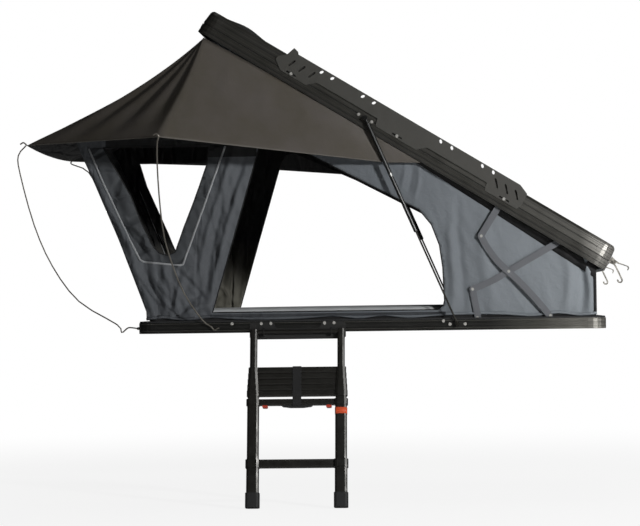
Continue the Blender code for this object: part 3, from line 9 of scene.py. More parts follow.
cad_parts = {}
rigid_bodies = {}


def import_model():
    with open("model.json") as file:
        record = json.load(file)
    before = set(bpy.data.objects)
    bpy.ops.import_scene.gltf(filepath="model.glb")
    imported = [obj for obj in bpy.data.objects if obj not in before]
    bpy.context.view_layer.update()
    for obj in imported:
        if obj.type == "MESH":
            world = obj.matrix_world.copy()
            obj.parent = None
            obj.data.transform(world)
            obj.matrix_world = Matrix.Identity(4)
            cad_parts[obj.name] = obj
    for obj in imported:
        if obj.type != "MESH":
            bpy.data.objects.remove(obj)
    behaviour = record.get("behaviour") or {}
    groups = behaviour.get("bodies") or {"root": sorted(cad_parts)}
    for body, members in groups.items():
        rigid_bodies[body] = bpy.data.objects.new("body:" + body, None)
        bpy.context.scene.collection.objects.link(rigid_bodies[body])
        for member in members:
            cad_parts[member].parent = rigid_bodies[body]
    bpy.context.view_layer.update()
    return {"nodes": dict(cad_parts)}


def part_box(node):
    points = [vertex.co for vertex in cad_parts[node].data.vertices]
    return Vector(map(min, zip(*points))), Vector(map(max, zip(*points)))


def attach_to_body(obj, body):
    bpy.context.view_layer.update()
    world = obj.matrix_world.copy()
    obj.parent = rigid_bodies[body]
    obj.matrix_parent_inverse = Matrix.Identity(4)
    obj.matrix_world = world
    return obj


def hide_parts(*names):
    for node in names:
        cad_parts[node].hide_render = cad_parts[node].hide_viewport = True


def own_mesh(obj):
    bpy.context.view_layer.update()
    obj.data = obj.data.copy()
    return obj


# Metres. -Y is the near side that the photo shows, -X the open end. The CAD model gives every hard part;
# the cloth, its trim and the mattress are made here, with the finishes of everything.

# The tray and the open lid, which everything else is measured from. A station is a distance behind the
# tray's front end.
tray = {"front": -1.08, "half": 0.70}
lid = {"rear": (1.076, 0.264), "angle": math.radians(31.45), "length": 2.185}


def colour(text):
    values = [int(text[i:i + 2], 16) / 255 for i in (1, 3, 5)]
    return tuple(v / 12.92 if v <= 0.04045 else ((v + 0.055) / 1.055) ** 2.4 for v in values) + (1.0,)


def node(tree, kind, inputs=(), **settings):
    made = tree.nodes.new("ShaderNode" + kind)
    for name, value in settings.items():
        setattr(made, name, value)
    for socket, value in dict(inputs).items():
        if isinstance(value, bpy.types.NodeSocket):
            tree.links.new(value, made.inputs[socket])
        else:
            made.inputs[socket].default_value = value
    return made


def shaderOf(made):
    return made.node_tree.nodes["Principled BSDF"]


def material(name, base, roughness, metallic=0.0):
    made = bpy.data.materials.new(name)
    made.use_nodes = True
    shaderOf(made).inputs["Base Color"].default_value = colour(base)
    shaderOf(made).inputs["Roughness"].default_value = roughness
    shaderOf(made).inputs["Metallic"].default_value = metallic
    return made


def place(tree, scale):
    spot = node(tree, "TexCoord").outputs["Object"]
    return node(tree, "Mapping", {"Vector": spot, "Scale": scale}).outputs["Vector"]


def addBump(made, height, strength, distance):
    tree = made.node_tree
    bump = node(tree, "Bump", {"Height": height, "Strength": strength, "Distance": distance})
    earlier = shaderOf(made).inputs["Normal"].links
    if earlier:
        tree.links.new(earlier[0].from_socket, bump.inputs["Normal"])
    tree.links.new(bump.outputs["Normal"], shaderOf(made).inputs["Normal"])


def objectAxis(tree, axis):
    return node(tree, "SeparateXYZ", {0: node(tree, "TexCoord").outputs["Object"]}).outputs[axis]


# A scale is a count in one metre: 14 gives patches some 70 mm across, 900 a grain of 1.1 mm. Real grain is
# finer than that and wouldn't show.


def varyRoughness(made, low, high, scale):
    # Patches of the finish are smoother or rougher.
    tree = made.node_tree
    patches = node(tree, "TexNoise", {"Vector": place(tree, (1, 1, 1)), "Scale": scale, "Detail": 4.0})
    spread = node(tree, "MapRange", {"Value": patches.outputs["Fac"], "From Min": 0.3, "From Max": 0.7,
                                     "To Min": low, "To Max": high})
    tree.links.new(spread.outputs["Result"], shaderOf(made).inputs["Roughness"])


def varyColour(made, tones, scale):
    # Patches of the finish lean to the one tone or the other.
    tree = made.node_tree
    patches = node(tree, "TexNoise", {"Vector": place(tree, (1, 1, 1)), "Scale": scale, "Detail": 5.0,
                                      "Roughness": 0.6})
    ramp = node(tree, "ValToRGB", {"Fac": patches.outputs["Fac"]})
    for stop, tone, position in zip(ramp.color_ramp.elements, tones, (0.35, 0.65)):
        stop.position = position
        stop.color = colour(tone)
    tree.links.new(ramp.outputs["Color"], shaderOf(made).inputs["Base Color"])


def paintOver(made, mask, base, roughness=None, metallic=None):
    # Where the mask is 1 the finish takes the given look instead of its own.
    tree, shader = made.node_tree, shaderOf(made)
    socket = shader.inputs["Base Color"]
    earlier = socket.links[0].from_socket if socket.links else tuple(socket.default_value)
    mix = node(tree, "Mix", {"Factor": mask, 6: earlier, 7: colour(base)}, data_type="RGBA")
    tree.links.new(mix.outputs[2], socket)
    for name, value in (("Roughness", roughness), ("Metallic", metallic)):
        if value is None:
            continue
        socket = shader.inputs[name]
        earlier = socket.links[0].from_socket if socket.links else socket.default_value
        blend = node(tree, "Mix", {"Factor": mask, 2: earlier, 3: value}, data_type="FLOAT")
        tree.links.new(blend.outputs[0], socket)


def leastOf(tree, values):
    least = values[0]
    for value in values[1:]:
        least = node(tree, "Math", {0: least, 1: value}, operation="MINIMUM").outputs["Value"]
    return least


def nearAny(tree, places, radius):
    # 1 within the radius of any of the points, seen from the side.
    flat = place(tree, (1, 0, 1))
    away = []
    for x, z in places:
        away.append(node(tree, "VectorMath", {0: flat, 1: (x, 0, z)}, operation="DISTANCE").outputs["Value"])
    return node(tree, "Math", {0: leastOf(tree, away), 1: radius}, operation="LESS_THAN").outputs["Value"]


def nearLevels(tree, height, levels, half):
    # 1 along thin lines that run at these heights.
    gaps = []
    for level in levels:
        gap = node(tree, "Math", {0: height, 1: level}, operation="SUBTRACT").outputs["Value"]
        gaps.append(node(tree, "Math", {0: gap}, operation="ABSOLUTE").outputs["Value"])
    return node(tree, "Math", {0: leastOf(tree, gaps), 1: half}, operation="LESS_THAN").outputs["Value"]


def heightOnLid(tree):
    # How far above the lid's lower rim a point of the open lid is.
    spot = node(tree, "TexCoord").outputs["Object"]
    c, s = math.cos(lid["angle"]), math.sin(lid["angle"])
    along = node(tree, "VectorMath", {0: spot, 1: (s, 0, c)}, operation="DOT_PRODUCT").outputs["Value"]
    rim = lid["rear"][0] * s + lid["rear"][1] * c
    return node(tree, "Math", {0: along, 1: rim}, operation="SUBTRACT").outputs["Value"]


wavePeriod = 0.314   # metres from ridge to ridge of the wave texture at a scale of 1


def weave(made, pitch, strength, depth):
    # Two crossed sets of ridges give the cloth its thread, with the pitch in metres.
    tree = made.node_tree
    spot = place(tree, (1, 1, 1))
    ridges = []
    for direction in ("X", "Z"):
        wave = node(tree, "TexWave", {"Vector": spot, "Scale": wavePeriod / pitch, "Distortion": 0.4},
                    wave_type="BANDS", bands_direction=direction)
        ridges.append(wave.outputs["Fac"])
    both = node(tree, "Math", {0: ridges[0], 1: ridges[1]}, operation="MAXIMUM")
    addBump(made, both.outputs["Value"], strength, depth)


def crumple(made, scale, strength, depth):
    # Soft lumps, or a grain where the scale is large.
    tree = made.node_tree
    lumps = node(tree, "TexNoise", {"Vector": place(tree, (1, 1, 1)), "Scale": scale, "Detail": 3.0,
                                    "Distortion": 0.6})
    addBump(made, lumps.outputs["Fac"], strength, depth)


def creases(made, perMetre, strength, depth, ends=None):
    # A net of sharp creases, so many in a metre along each axis and bent by a slow noise. Between the two
    # ends, places along X, it dies away.
    tree = made.node_tree
    spot = place(tree, perMetre)
    drift = node(tree, "TexNoise", {"Vector": spot, "Scale": 0.7, "Detail": 2.0})
    bent = node(tree, "VectorMath", {0: spot, 1: drift.outputs["Color"]}, operation="ADD").outputs["Vector"]
    cells = node(tree, "TexVoronoi", {"Vector": bent, "Scale": 1.0}, feature="DISTANCE_TO_EDGE")
    slope = node(tree, "MapRange", {"Value": cells.outputs["Distance"], "From Max": 0.22},
                 interpolation_type="SMOOTHSTEP")
    height = slope.outputs["Result"]
    if ends:
        along = objectAxis(tree, "X")
        fade = node(tree, "MapRange", {"Value": along, "From Min": ends[0], "From Max": ends[1],
                                       "To Min": 1.0, "To Max": 0.0}, interpolation_type="SMOOTHSTEP")
        share = node(tree, "Math", {0: height, 1: fade.outputs["Result"]}, operation="MULTIPLY")
        height = share.outputs["Value"]
    addBump(made, height, strength, depth)


def between(tree, value, low, high):
    above = node(tree, "Math", {0: value, 1: low}, operation="GREATER_THAN").outputs["Value"]
    below = node(tree, "Math", {0: value, 1: high}, operation="LESS_THAN").outputs["Value"]
    return node(tree, "Math", {0: above, 1: below}, operation="MULTIPLY").outputs["Value"]


def paintPatch(made, spanX, spanZ, tone):
    # A plain tone on the part of the cloth that lies in both spans.
    tree = made.node_tree
    inX = between(tree, objectAxis(tree, "X"), *spanX)
    inZ = between(tree, objectAxis(tree, "Z"), *spanZ)
    paintOver(made, node(tree, "Math", {0: inX, 1: inZ}, operation="MULTIPLY").outputs["Value"], tone)


# Cloth that is gathered right under the fly's hem and lies in its shade: two patches, in X and in Z
hemShade = {"patches": [((-1.225, -0.60), (0.860, 0.95)), ((-0.84, -0.52), (0.816, 0.95))], "tone": "#0F1011"}


def shadeUnderHem(made):
    for spanX, spanZ in hemShade["patches"]:
        paintPatch(made, spanX, spanZ, hemShade["tone"])


def rampAlong(made, axis, low, high, tones):
    # The tone changes evenly along one axis, through two or three tones.
    tree = made.node_tree
    fade = node(tree, "MapRange", {"Value": objectAxis(tree, axis), "From Min": low, "From Max": high})
    ramp = node(tree, "ValToRGB", {"Fac": fade.outputs["Result"]})
    for i, tone in enumerate(tones):
        stop = ramp.color_ramp.elements[i] if i < 2 else ramp.color_ramp.elements.new(1.0)
        stop.position = i / (len(tones) - 1)
        stop.color = colour(tone)
    tree.links.new(ramp.outputs["Color"], shaderOf(made).inputs["Base Color"])


def lidPoint(along, height):
    c, s = math.cos(lid["angle"]), math.sin(lid["angle"])
    return (lid["rear"][0] - along * c + height * s, lid["rear"][1] + along * s + height * c)


def lidLine(x, height):
    start = lidPoint(0, height)
    return start[1] + (start[0] - x) * math.tan(lid["angle"])


def station(points):
    return [(tray["front"] + x, z) for x, z in points]


def makeObject(name, bm, finishes, thickness=0.0):
    mesh = bpy.data.meshes.new(name)
    bm.to_mesh(mesh)
    bm.free()
    mesh.shade_smooth()
    made = bpy.data.objects.new(name, mesh)
    bpy.context.collection.objects.link(made)
    for finish in finishes:
        mesh.materials.append(finish)
    if thickness:
        solid = made.modifiers.new("Cloth thickness", "SOLIDIFY")
        solid.thickness = thickness
        solid.offset = 0.0
        solid.use_even_offset = False
        if len(finishes) > 1:
            solid.material_offset = 1
            solid.material_offset_rim = 0
    return made


def inside(x, z, loop):
    odd = False
    for (ax, az), (bx, bz) in zip(loop, loop[1:] + loop[:1]):
        if (az > z) != (bz > z) and x < ax + (z - az) * (bx - ax) / (bz - az):
            odd = not odd
    return odd


def edgeDistance(x, z, loop):
    best = 9.0
    for (ax, az), (bx, bz) in zip(loop, loop[1:] + loop[:1]):
        dx, dz = bx - ax, bz - az
        t = max(0.0, min(1.0, ((x - ax) * dx + (z - az) * dz) / (dx * dx + dz * dz)))
        best = min(best, math.hypot(x - ax - dx * t, z - az - dz * t))
    return best


def divided(loop, cell):
    points = []
    for (ax, az), (bx, bz) in zip(loop, loop[1:] + loop[:1]):
        count = max(1, round(math.hypot(bx - ax, bz - az) / cell))
        points += [(ax + (bx - ax) * i / count, az + (bz - az) * i / count) for i in range(count)]
    return points


def divideLine(points, cell):
    made = []
    for a, b in zip(points, points[1:]):
        count = max(1, round(math.dist(a, b) / cell))
        made += [(a[0] + (b[0] - a[0]) * i / count, a[1] + (b[1] - a[1]) * i / count) for i in range(count)]
    return made + [points[-1]]


def panel(name, outline, holes, cell, depthAt, finishes, thickness):
    # A cloth drawn in X and Z, with holes and with its depth from a function; its area comes back as well.
    loops = [divided(loop, cell) for loop in [outline, *holes]]
    points, edges = [], []
    for loop in loops:
        start = len(points)
        edges += [(start + i, start + (i + 1) % len(loop)) for i in range(len(loop))]
        points += loop
    low = [min(p[k] for p in outline) for k in (0, 1)]
    high = [max(p[k] for p in outline) for k in (0, 1)]
    rise = cell * 0.87   # rows of nearly even triangles
    clear = cell * 0.55   # how far the inner points keep from every edge
    rows = int((high[1] - low[1]) / rise) + 1
    for j in range(rows):
        z = low[1] + rise * (j + 0.5)
        x = low[0] + cell * (0.25 if j % 2 else 0.75)
        while x < high[0]:
            if inside(x, z, outline) and not any(inside(x, z, hole) for hole in holes):
                if all(edgeDistance(x, z, loop) > clear for loop in [outline, *holes]):
                    points.append((x, z))
            x += cell
    places, _, faces, _, _, _ = delaunay_2d_cdt([Vector(p) for p in points], edges, [], 1, 1e-7)
    bm = bmesh.new()
    verts = [bm.verts.new((x, depthAt(x, z), z)) for x, z in places]
    area = 0.0
    for face in faces:
        a, b, c = [places[i] for i in face]
        middle = (a + b + c) / 3
        if not any(inside(middle.x, middle.y, hole) for hole in holes):
            bm.faces.new([verts[i] for i in face])
            area += abs((b - a).cross(c - a)) / 2
    bmesh.ops.delete(bm, geom=[v for v in bm.verts if not v.link_faces], context="VERTS")
    return makeObject(name, bm, finishes, thickness), area


def tube(name, points, radius, finish, closed=False, sides=8, flat=1.0):
    # A round or flattened bead along a path, with its own frame carried along the path.
    path = [Vector(p) for p in points]
    count = len(path)
    bm = bmesh.new()
    rings = []
    up = Vector((0, 1, 0))
    for i, point in enumerate(path):
        ahead = path[(i + 1) % count] if closed else path[min(i + 1, count - 1)]
        behind = path[i - 1] if closed or i else path[0]
        along = (ahead - behind).normalized()
        across = along.cross(up)
        across = across.normalized() if across.length > 1e-6 else Vector((1, 0, 0))
        out = across.cross(along).normalized()
        rings.append([bm.verts.new(point + across * radius * math.cos(a) + out * radius * flat * math.sin(a))
                      for a in [2 * math.pi * k / sides for k in range(sides)]])
    pairs = list(zip(rings, rings[1:])) + ([(rings[-1], rings[0])] if closed else [])
    for first, second in pairs:
        for k in range(sides):
            bm.faces.new((first[k], first[(k + 1) % sides], second[(k + 1) % sides], second[k]))
    if not closed:
        bm.faces.new(rings[0])
        bm.faces.new(rings[-1])
    bmesh.ops.recalc_face_normals(bm, faces=bm.faces)
    return makeObject(name, bm, [finish])


# Finishes


# Bolt and pin heads, seen from the side
bolts = {
    # distance along the lid and height above its rim
    "lid": [(0.564, 0.047), (1.135, 0.047), (1.703, 0.047), (1.268, 0.044), (1.338, 0.044)],
    # station and height
    "tray": [(0.439, 0.0425), (1.414, 0.0425), (0.575, 0.041), (0.619, 0.041), (0.867, 0.041), (0.911, 0.041),
             (1.444, 0.028), (1.514, 0.028)],
    "radius": 0.0072,
    "pins": [(1.593, 0.431), (1.7167, 0.2665), (1.550, 0.187), (1.5705, 0.0562), (1.905, 0.061)],
    "pinRadius": 0.0066,
}
strutRing = {"at": (1.185, 0.718), "radius": 0.0085}   # station and height

# Painted lines along the rails, dark for painted shade in the grooves, pale for painted highlights: their
# heights, half width, tone, roughness and metallic. The lid's heights are above its rim.
railShadeAndHighlightLines = {
    "trayRail": [((0.0245, 0.0302), 0.0006, "#0D0D0D", 0.6, 0.2),
                 ((0.0120, 0.0445), 0.0009, "#6A6964", 0.3, 0.8)],
    "lidRail": [((0.0045, 0.019, 0.046, 0.0765, 0.098), 0.0011, "#0E0E0D", 0.6, 0.2),
                ((0.0115, 0.030, 0.060, 0.089), 0.0008, "#4F4E49", 0.3, 0.6)],
}
rails = {
    # Toward the rear corner each rail's tone turns paler: a painted highlight where light catches the rounded
    # corner.
    "tray": ["#2B2B29", "#55544F", "#8E8C86"], "trayHighlightFade": (0.55, 1.06),   # paler toward the rear corner
    "lid": ["#3B3A36", "#8A8883"], "lidHighlightFade": (0.96, 1.10),
}
# Painted highlight on the bolt and pin heads
boltHighlightTone = "#E4E2DC"


def makeMetals():
    made = {}

    # Anodised aluminium, extruded: a soft dull sheen, painted lines of shade and highlight along its length.
    trayMetal = material("anodisedAluminiumTray", rails["tray"][0], 0.36, 0.7)
    # Painted highlight: the tray's tone turns paler toward its rear corner.
    rampAlong(trayMetal, "X", *rails["trayHighlightFade"], rails["tray"])
    varyRoughness(trayMetal, 0.30, 0.44, 14.0)
    lidMetal = material("anodisedAluminiumLid", rails["lid"][0], 0.38, 0.6)
    # Painted highlight: the lid's tone turns paler toward its rear corner.
    rampAlong(lidMetal, "X", *rails["lidHighlightFade"], rails["lid"])
    varyRoughness(lidMetal, 0.32, 0.46, 14.0)
    made["trayRail"], made["lidRail"] = trayMetal, lidMetal
    heights = {"trayRail": objectAxis(trayMetal.node_tree, "Z"), "lidRail": heightOnLid(lidMetal.node_tree)}
    for key, height in heights.items():
        rail = made[key]
        crumple(rail, 900.0, 0.05, 0.0004)
        # Dark lines of painted shade and pale lines of painted highlight along the rail
        for levels, half, tone, roughness, metallic in railShadeAndHighlightLines[key]:
            paintOver(rail, nearLevels(rail.node_tree, height, levels, half), tone, roughness, metallic)

    # Powder coat on sheet: matt and even, with a fine grain that has no direction.
    sheets = (("rackSheet", "powderCoatRack", "#42413D"), ("panelSheet", "powderCoatPanel", "#2B2B2A"),
              ("bracketSheet", "powderCoatBracket", "#1F1F1E"))
    for key, name, base in sheets:
        coat = material(name, base, 0.55, 0.25)
        varyRoughness(coat, 0.46, 0.62, 30.0)
        crumple(coat, 1400.0, 0.08, 0.0003)
        made[key] = coat

    # Stainless steel, brushed: bright, with patches of softer shine.
    made["stainless"] = material("brushedStainless", "#A8A49C", 0.30, 1.0)
    varyRoughness(made["stainless"], 0.22, 0.42, 60.0)

    # Scissor bars, grey enamel: a little glossier than the cloth beside them.
    made["greyBar"] = material("greyEnamel", "#64666A", 0.45, 0.30)
    varyRoughness(made["greyBar"], 0.38, 0.52, 40.0)

    # Bolt and pin heads are painted as small bright dots: painted highlights where the key light catches
    # them.
    lidBolts = [lidPoint(along, height) for along, height in bolts["lid"]]
    trayBolts = station(bolts["tray"])
    boltsOn = {"lidRail": lidBolts, "rackSheet": lidBolts, "trayRail": trayBolts, "bracketSheet": trayBolts}
    for key, heads in boltsOn.items():
        paintOver(made[key], nearAny(made[key].node_tree, heads, bolts["radius"]), boltHighlightTone, 0.25, 0.6)
    # The bars' pin heads get the same painted highlight.
    pins = nearAny(made["greyBar"].node_tree, station(bolts["pins"]), bolts["pinRadius"])
    paintOver(made["greyBar"], pins, "#E8E6E0", 0.25, 0.6)

    # Painted steel tube: glossy black, with the strut's bright ring.
    cylinder = material("blackPaintedTube", "#191A19", 0.30, 0.3)
    ring = nearAny(cylinder.node_tree, station([strutRing["at"]]), strutRing["radius"])
    paintOver(cylinder, ring, "#8F8F8C", 0.35, 0.6)
    made["blackTube"] = cylinder

    # Ground and drawn steel rods: smooth, the piston's darker than the springs'.
    made["pistonRod"] = material("groundSteelRod", "#3A3935", 0.25, 0.8)
    made["springRod"] = material("springSteelRod", "#6E6A63", 0.35, 0.6)

    # Dark anodised tube: streaks of light down the round stiles.
    made["ladderTube"] = material("darkAnodisedTube", "#282724", 0.36, 0.45)
    varyRoughness(made["ladderTube"], 0.30, 0.44, 22.0)
    return made


def makePlastics():
    # Moulded rubber is matt and grained; moulded nylon has a finer grain; the coloured ones are smooth.
    made = {"rubber": material("mouldedRubber", "#161718", 0.70)}
    crumple(made["rubber"], 500.0, 0.2, 0.0005)
    made["blackPlastic"] = material("mouldedNylon", "#161616", 0.50)
    crumple(made["blackPlastic"], 900.0, 0.15, 0.0003)
    made["redPlastic"] = material("mouldedRedPlastic", "#B5402F", 0.38)
    made["orangeBand"] = material("orangeVinylSleeve", "#D9552C", 0.45)
    return made


# The cloths. Threads are 0.9 to 1.4 mm apart, two or three times coarser than real, so that they show.
cloth = {
    # The wall's tones are painted shade: the cloth is darker toward the open end and paler toward the rear.
    "wall": ["#4B4E52", "#62676C", "#858B90"], "wallShadeFade": (-0.75, 1.05),   # darker toward the open end
    "inside": ["#6E6C62", "#141415"], "insideFade": (0.16, 0.46),   # paler low down, where light comes in
    "flap": "#3A3D40",
    # Painted shade: a dark band low on the wall below the door, where its folds lie in shade.
    "shadeBelowDoor": {"x": (-0.745, 0.345), "z": (0.072, 0.086), "tone": "#33363A"},   # dark band below the door
    # The same black also makes the strips of painted shade under the lid and behind the foot hem.
    "tape": "#0D0D0E",
    "piping": "#8C8E90",
    "fly": ["#474239", "#4E4944"],
    "hem": "#5A5650",
    "mattress": "#B9BCBD",
}


def makeCloths():
    # Coated canvas: matt, with the thread visible close by and soft creases further off.
    wallCloth = material("coatedCanvasWall", cloth["wall"][1], 0.80)
    # Painted shade: darker toward the open end.
    rampAlong(wallCloth, "X", *cloth["wallShadeFade"], cloth["wall"])
    weave(wallCloth, 0.0009, 0.25, 0.0003)
    crumple(wallCloth, 30.0, 0.5, 0.006)
    creases(wallCloth, (13.0, 3.0, 3.5), 0.8, 0.005, (-0.80, -0.45))
    creases(wallCloth, (5.0, 2.0, 8.0), 0.7, 0.005, (-0.95, -0.60))
    # Painted shade on the band below the door.
    paintPatch(wallCloth, cloth["shadeBelowDoor"]["x"], cloth["shadeBelowDoor"]["z"], cloth["shadeBelowDoor"]["tone"])
    shadeUnderHem(wallCloth)
    flap = material("coatedCanvasFlap", cloth["flap"], 0.8)
    weave(flap, 0.0009, 0.25, 0.0003)
    creases(flap, (7.0, 2.0, 9.0), 1.0, 0.010)
    shadeUnderHem(flap)
    lining = material("coatedCanvasInside", cloth["inside"][1], 0.85)
    rampAlong(lining, "Z", *cloth["insideFade"], cloth["inside"])
    weave(lining, 0.0009, 0.2, 0.0003)
    creases(lining, (14.0, 3.0, 3.0), 1.0, 0.012)

    # Woven tape and piping: thin even lines round the openings.
    # Its black also makes the strips of painted shade under the lid and behind the foot hem.
    tape = material("wovenTapeAndGapShade", cloth["tape"], 0.75)
    weave(tape, 0.0012, 0.3, 0.0004)
    piping = material("wovenPiping", cloth["piping"], 0.60)

    # Coated polyester: heavier and darker than the walls, with a slight sheen on its folds.
    flySheet = material("coatedPolyesterFly", cloth["fly"][0], 0.62)
    varyColour(flySheet, cloth["fly"], 4.0)
    weave(flySheet, 0.0010, 0.3, 0.0003)
    crumple(flySheet, 8.0, 0.35, 0.010)
    crumple(flySheet, 40.0, 0.2, 0.003)
    hem = material("wovenHemTape", cloth["hem"], 0.7)

    # Woven mattress cover: the softest and palest of the cloths.
    cover = material("wovenMattressCover", cloth["mattress"], 0.9)
    weave(cover, 0.0014, 0.3, 0.0005)
    crumple(cover, 18.0, 0.3, 0.005)
    return {"canvas": wallCloth, "flap": flap, "inside": lining, "tape": tape, "piping": piping,
            "fly": flySheet, "hem": hem, "cover": cover}


def dressFrame(frame, finishes):
    # The first name that a node's own name starts with gives its finish.
    rules = (
        ("base_rail", "trayRail"), ("base_end", "trayRail"), ("base_floor", "panelSheet"),
        ("mounting_track", "stainless"), ("lid_rail", "lidRail"), ("lid_end", "lidRail"),
        ("lid_skin", "panelSheet"), ("lid_seal", "rubber"), ("rack_plate", "rackSheet"),
        ("latch", "stainless"), ("arm_", "greyBar"), ("link_", "greyBar"), ("strut_cylinder", "blackTube"),
        ("strut_rod", "pistonRod"), ("front_rod", "springRod"), ("side_rod", "springRod"),
        ("ladder_bracket", "bracketSheet"), ("ladder_foot", "rubber"), ("ladder_section", "ladderTube"),
        ("carry_grip", "blackPlastic"), ("release_slider", "redPlastic"), ("stack_strap", "tape"),
    )
    for name, obj in frame["nodes"].items():
        for start, finish in rules:
            if name.startswith(start):
                obj.data.materials.clear()
                obj.data.materials.append(finishes[finish])
                break
    print("scene: finishes on", len(frame["nodes"]), "nodes")


# Cloth


wall = {
    "inset": 0.044,   # inside the tray's side
    "rear": 1.037,
    "footStation": 0.064, "foot": 0.030,   # where the front wall starts
    "hoodTip": (-0.298, 0.930),   # station and height
    "lidHeight": 0.0885,   # where the cloth ends, above the lid's rim
    "cell": 0.0105, "acrossCells": 44, "thickness": 0.0012,
    "hem": 0.070, "hemWave": 0.006, "hemWaves": (17, 1.7, 7),
    "frontBow": 0.010,   # how far the front edge is drawn in
    "mostProud": 0.024,   # no fold stands out further than this
    "hoodSpan": (0.50, 0.95), "hoodSlack": 0.045,   # share of the front wall's length, and how far it hangs
    "frontWave": 0.006, "rearWave": 0.003,
    "rollRadius": 0.0065, "rollProud": 0.003,
}
# How the cloth lies besides its long folds: creases per metre, and depths in metres
pucker = {
    "foldShare": 1.7, "foldOverrun": 0.15,
    "lean": (0.92, 0.38), "across": 16.0, "down": 4.5, "depth": 0.016, "level": 0.35,
    "fineDepth": 0.006, "fineRatio": 2.3,
    "swell": 0.003, "swellAcross": 5.0,
    "sideShift": 3.0,   # keeps the two sides from being alike
    "tautFrom": -0.70, "tautOver": 0.5, "tautShare": 0.75,   # toward the rear the cloth is stretched
    "edgeReach": 0.04, "edgeShare": 0.6,
    "footDepth": 0.005, "footWaves": 21, "footFrom": 0.05, "footReach": 0.04,
}

# Long folds of the side walls: from and to as stations and heights, half width, and how far each stands out
folds = [
    ((0.070, 0.075), (-0.015, 0.330), 0.016, 0.010),
    ((0.095, 0.070), (0.040, 0.310), 0.012, -0.008),
    ((0.120, 0.075), (0.130, 0.300), 0.016, 0.008),
    ((0.145, 0.070), (0.225, 0.270), 0.014, 0.010),
    ((0.165, 0.065), (0.300, 0.190), 0.012, -0.007),
    ((0.180, 0.085), (0.335, 0.130), 0.012, 0.008),
    ((-0.010, 0.330), (-0.150, 0.640), 0.012, 0.008),
    ((-0.035, 0.300), (-0.190, 0.700), 0.010, -0.006),
    ((-0.130, 0.600), (-0.262, 0.860), 0.012, 0.007),
    ((0.345, 0.160), (0.395, 0.420), 0.013, 0.010),
    ((0.315, 0.200), (0.380, 0.560), 0.010, -0.008),
    ((0.385, 0.330), (0.470, 0.690), 0.012, 0.009),
    ((0.285, 0.300), (0.400, 0.700), 0.010, 0.007),
    ((0.430, 0.560), (0.500, 0.830), 0.012, -0.007),
    ((0.400, 0.640), (0.440, 0.850), 0.012, 0.009),
    ((1.235, 0.660), (1.245, 0.780), 0.007, 0.005),
    ((1.265, 0.640), (1.280, 0.770), 0.007, -0.005),
    ((1.295, 0.615), (1.312, 0.745), 0.008, 0.006),
    ((1.450, 0.090), (1.465, 0.480), 0.022, 0.008),
    ((1.500, 0.080), (1.490, 0.560), 0.018, -0.006),
    ((1.640, 0.075), (1.600, 0.520), 0.030, 0.006),
    ((1.990, 0.080), (1.985, 0.360), 0.022, 0.007),
    ((2.050, 0.075), (2.050, 0.330), 0.014, -0.008),
    ((2.085, 0.075), (2.080, 0.310), 0.012, 0.008),
    ((0.032, 0.294), (0.114, 0.120), 0.008, -0.010),
    ((0.078, 0.270), (0.142, 0.166), 0.008, 0.009),
    ((0.172, 0.315), (0.301, 0.164), 0.008, -0.009),
    ((0.130, 0.290), (0.230, 0.110), 0.010, 0.008),
    ((-0.082, 0.519), (0.047, 0.363), 0.008, -0.010),
    ((-0.050, 0.530), (0.090, 0.400), 0.008, 0.008),
]

# Window: the opening on each side, the piping round its flap, and two seams on the far wall's inside. As in
# the door, each point is a station and a height.
windowTrim = {
    "near": [(-0.156, 0.868), (-0.092, 0.754), (-0.029, 0.641), (0.016, 0.519), (0.071, 0.406),
             (0.100, 0.374), (0.140, 0.362), (0.176, 0.378), (0.216, 0.488), (0.268, 0.618), (0.326, 0.776),
             (0.338, 0.868)],
    "far": [(-0.165, 0.868), (-0.129, 0.748), (-0.059, 0.591), (0.016, 0.414), (0.060, 0.366), (0.140, 0.352),
            (0.190, 0.366), (0.222, 0.470), (0.274, 0.618), (0.336, 0.776), (0.348, 0.868)],
    "piping": [(-0.224, 0.866), (-0.162, 0.716), (-0.0995, 0.5765), (-0.042, 0.450), (0.010, 0.345),
               (0.028, 0.334), (0.196, 0.316), (0.211, 0.320), (0.2966, 0.548), (0.393, 0.808),
               (0.4145, 0.866)],
    "pipingRadius": 0.0046, "pipingProud": 0.004,
    "flapCell": 0.009, "flapThickness": 0.001, "flapProud": 0.0030,
    "bindingRadius": 0.003, "bindingProud": 0.0020,
    "lineRadius": 0.0022, "lineProud": -0.003,   # the seams lie on the inside
    "innerLines": [[(-0.178, 0.614), (-0.0825, 0.390)], [(-0.166, 0.728), (-0.036, 0.389)]],
}

# Door: its straight foot, its arch and the part that the fly hides
doorTrim = {
    "low": [(0.346, 0.095), (1.388, 0.095), (1.414, 0.112), (1.420, 0.136)],
    "arch": [(1.414, 0.290), (1.400, 0.393), (1.365, 0.487), (1.309, 0.557), (0.962, 0.739)],
    "high": [(0.640, 0.908), (0.600, 0.900), (0.572, 0.860)],
    "farRise": 0.025,
    "zipRadius": 0.0026, "zipProud": 0.001,
}

# Black tape along the rear edge, and black strips of painted shade in the gaps along the lid and behind the
# foot hem: where each starts and ends, and how far it stands out
tapesAndGapShades = {
    "cell": 0.03, "thickness": 0.001,
    "lidStation": 1.30, "lidLow": (-0.012, -0.052), "lidHigh": 0.03, "lidProud": 0.0018,
    "rearWidth": 0.013, "rearOver": 0.001, "rearTop": -0.02, "rearProud": 0.0022,
    "footStation": 0.004, "footLean": 0.02, "footEnd": 0.003, "footLow": 0.0275, "footHigh": 0.085,
    "footProud": -0.003,
}


def doorLoop(side):
    rise = doorTrim["farRise"] if side > 0 else 0.0
    return station(doorTrim["low"] + [(x, z + rise) for x, z in doorTrim["arch"]] + doorTrim["high"])


def windowLoop(side):
    return station(windowTrim["near" if side < 0 else "far"])


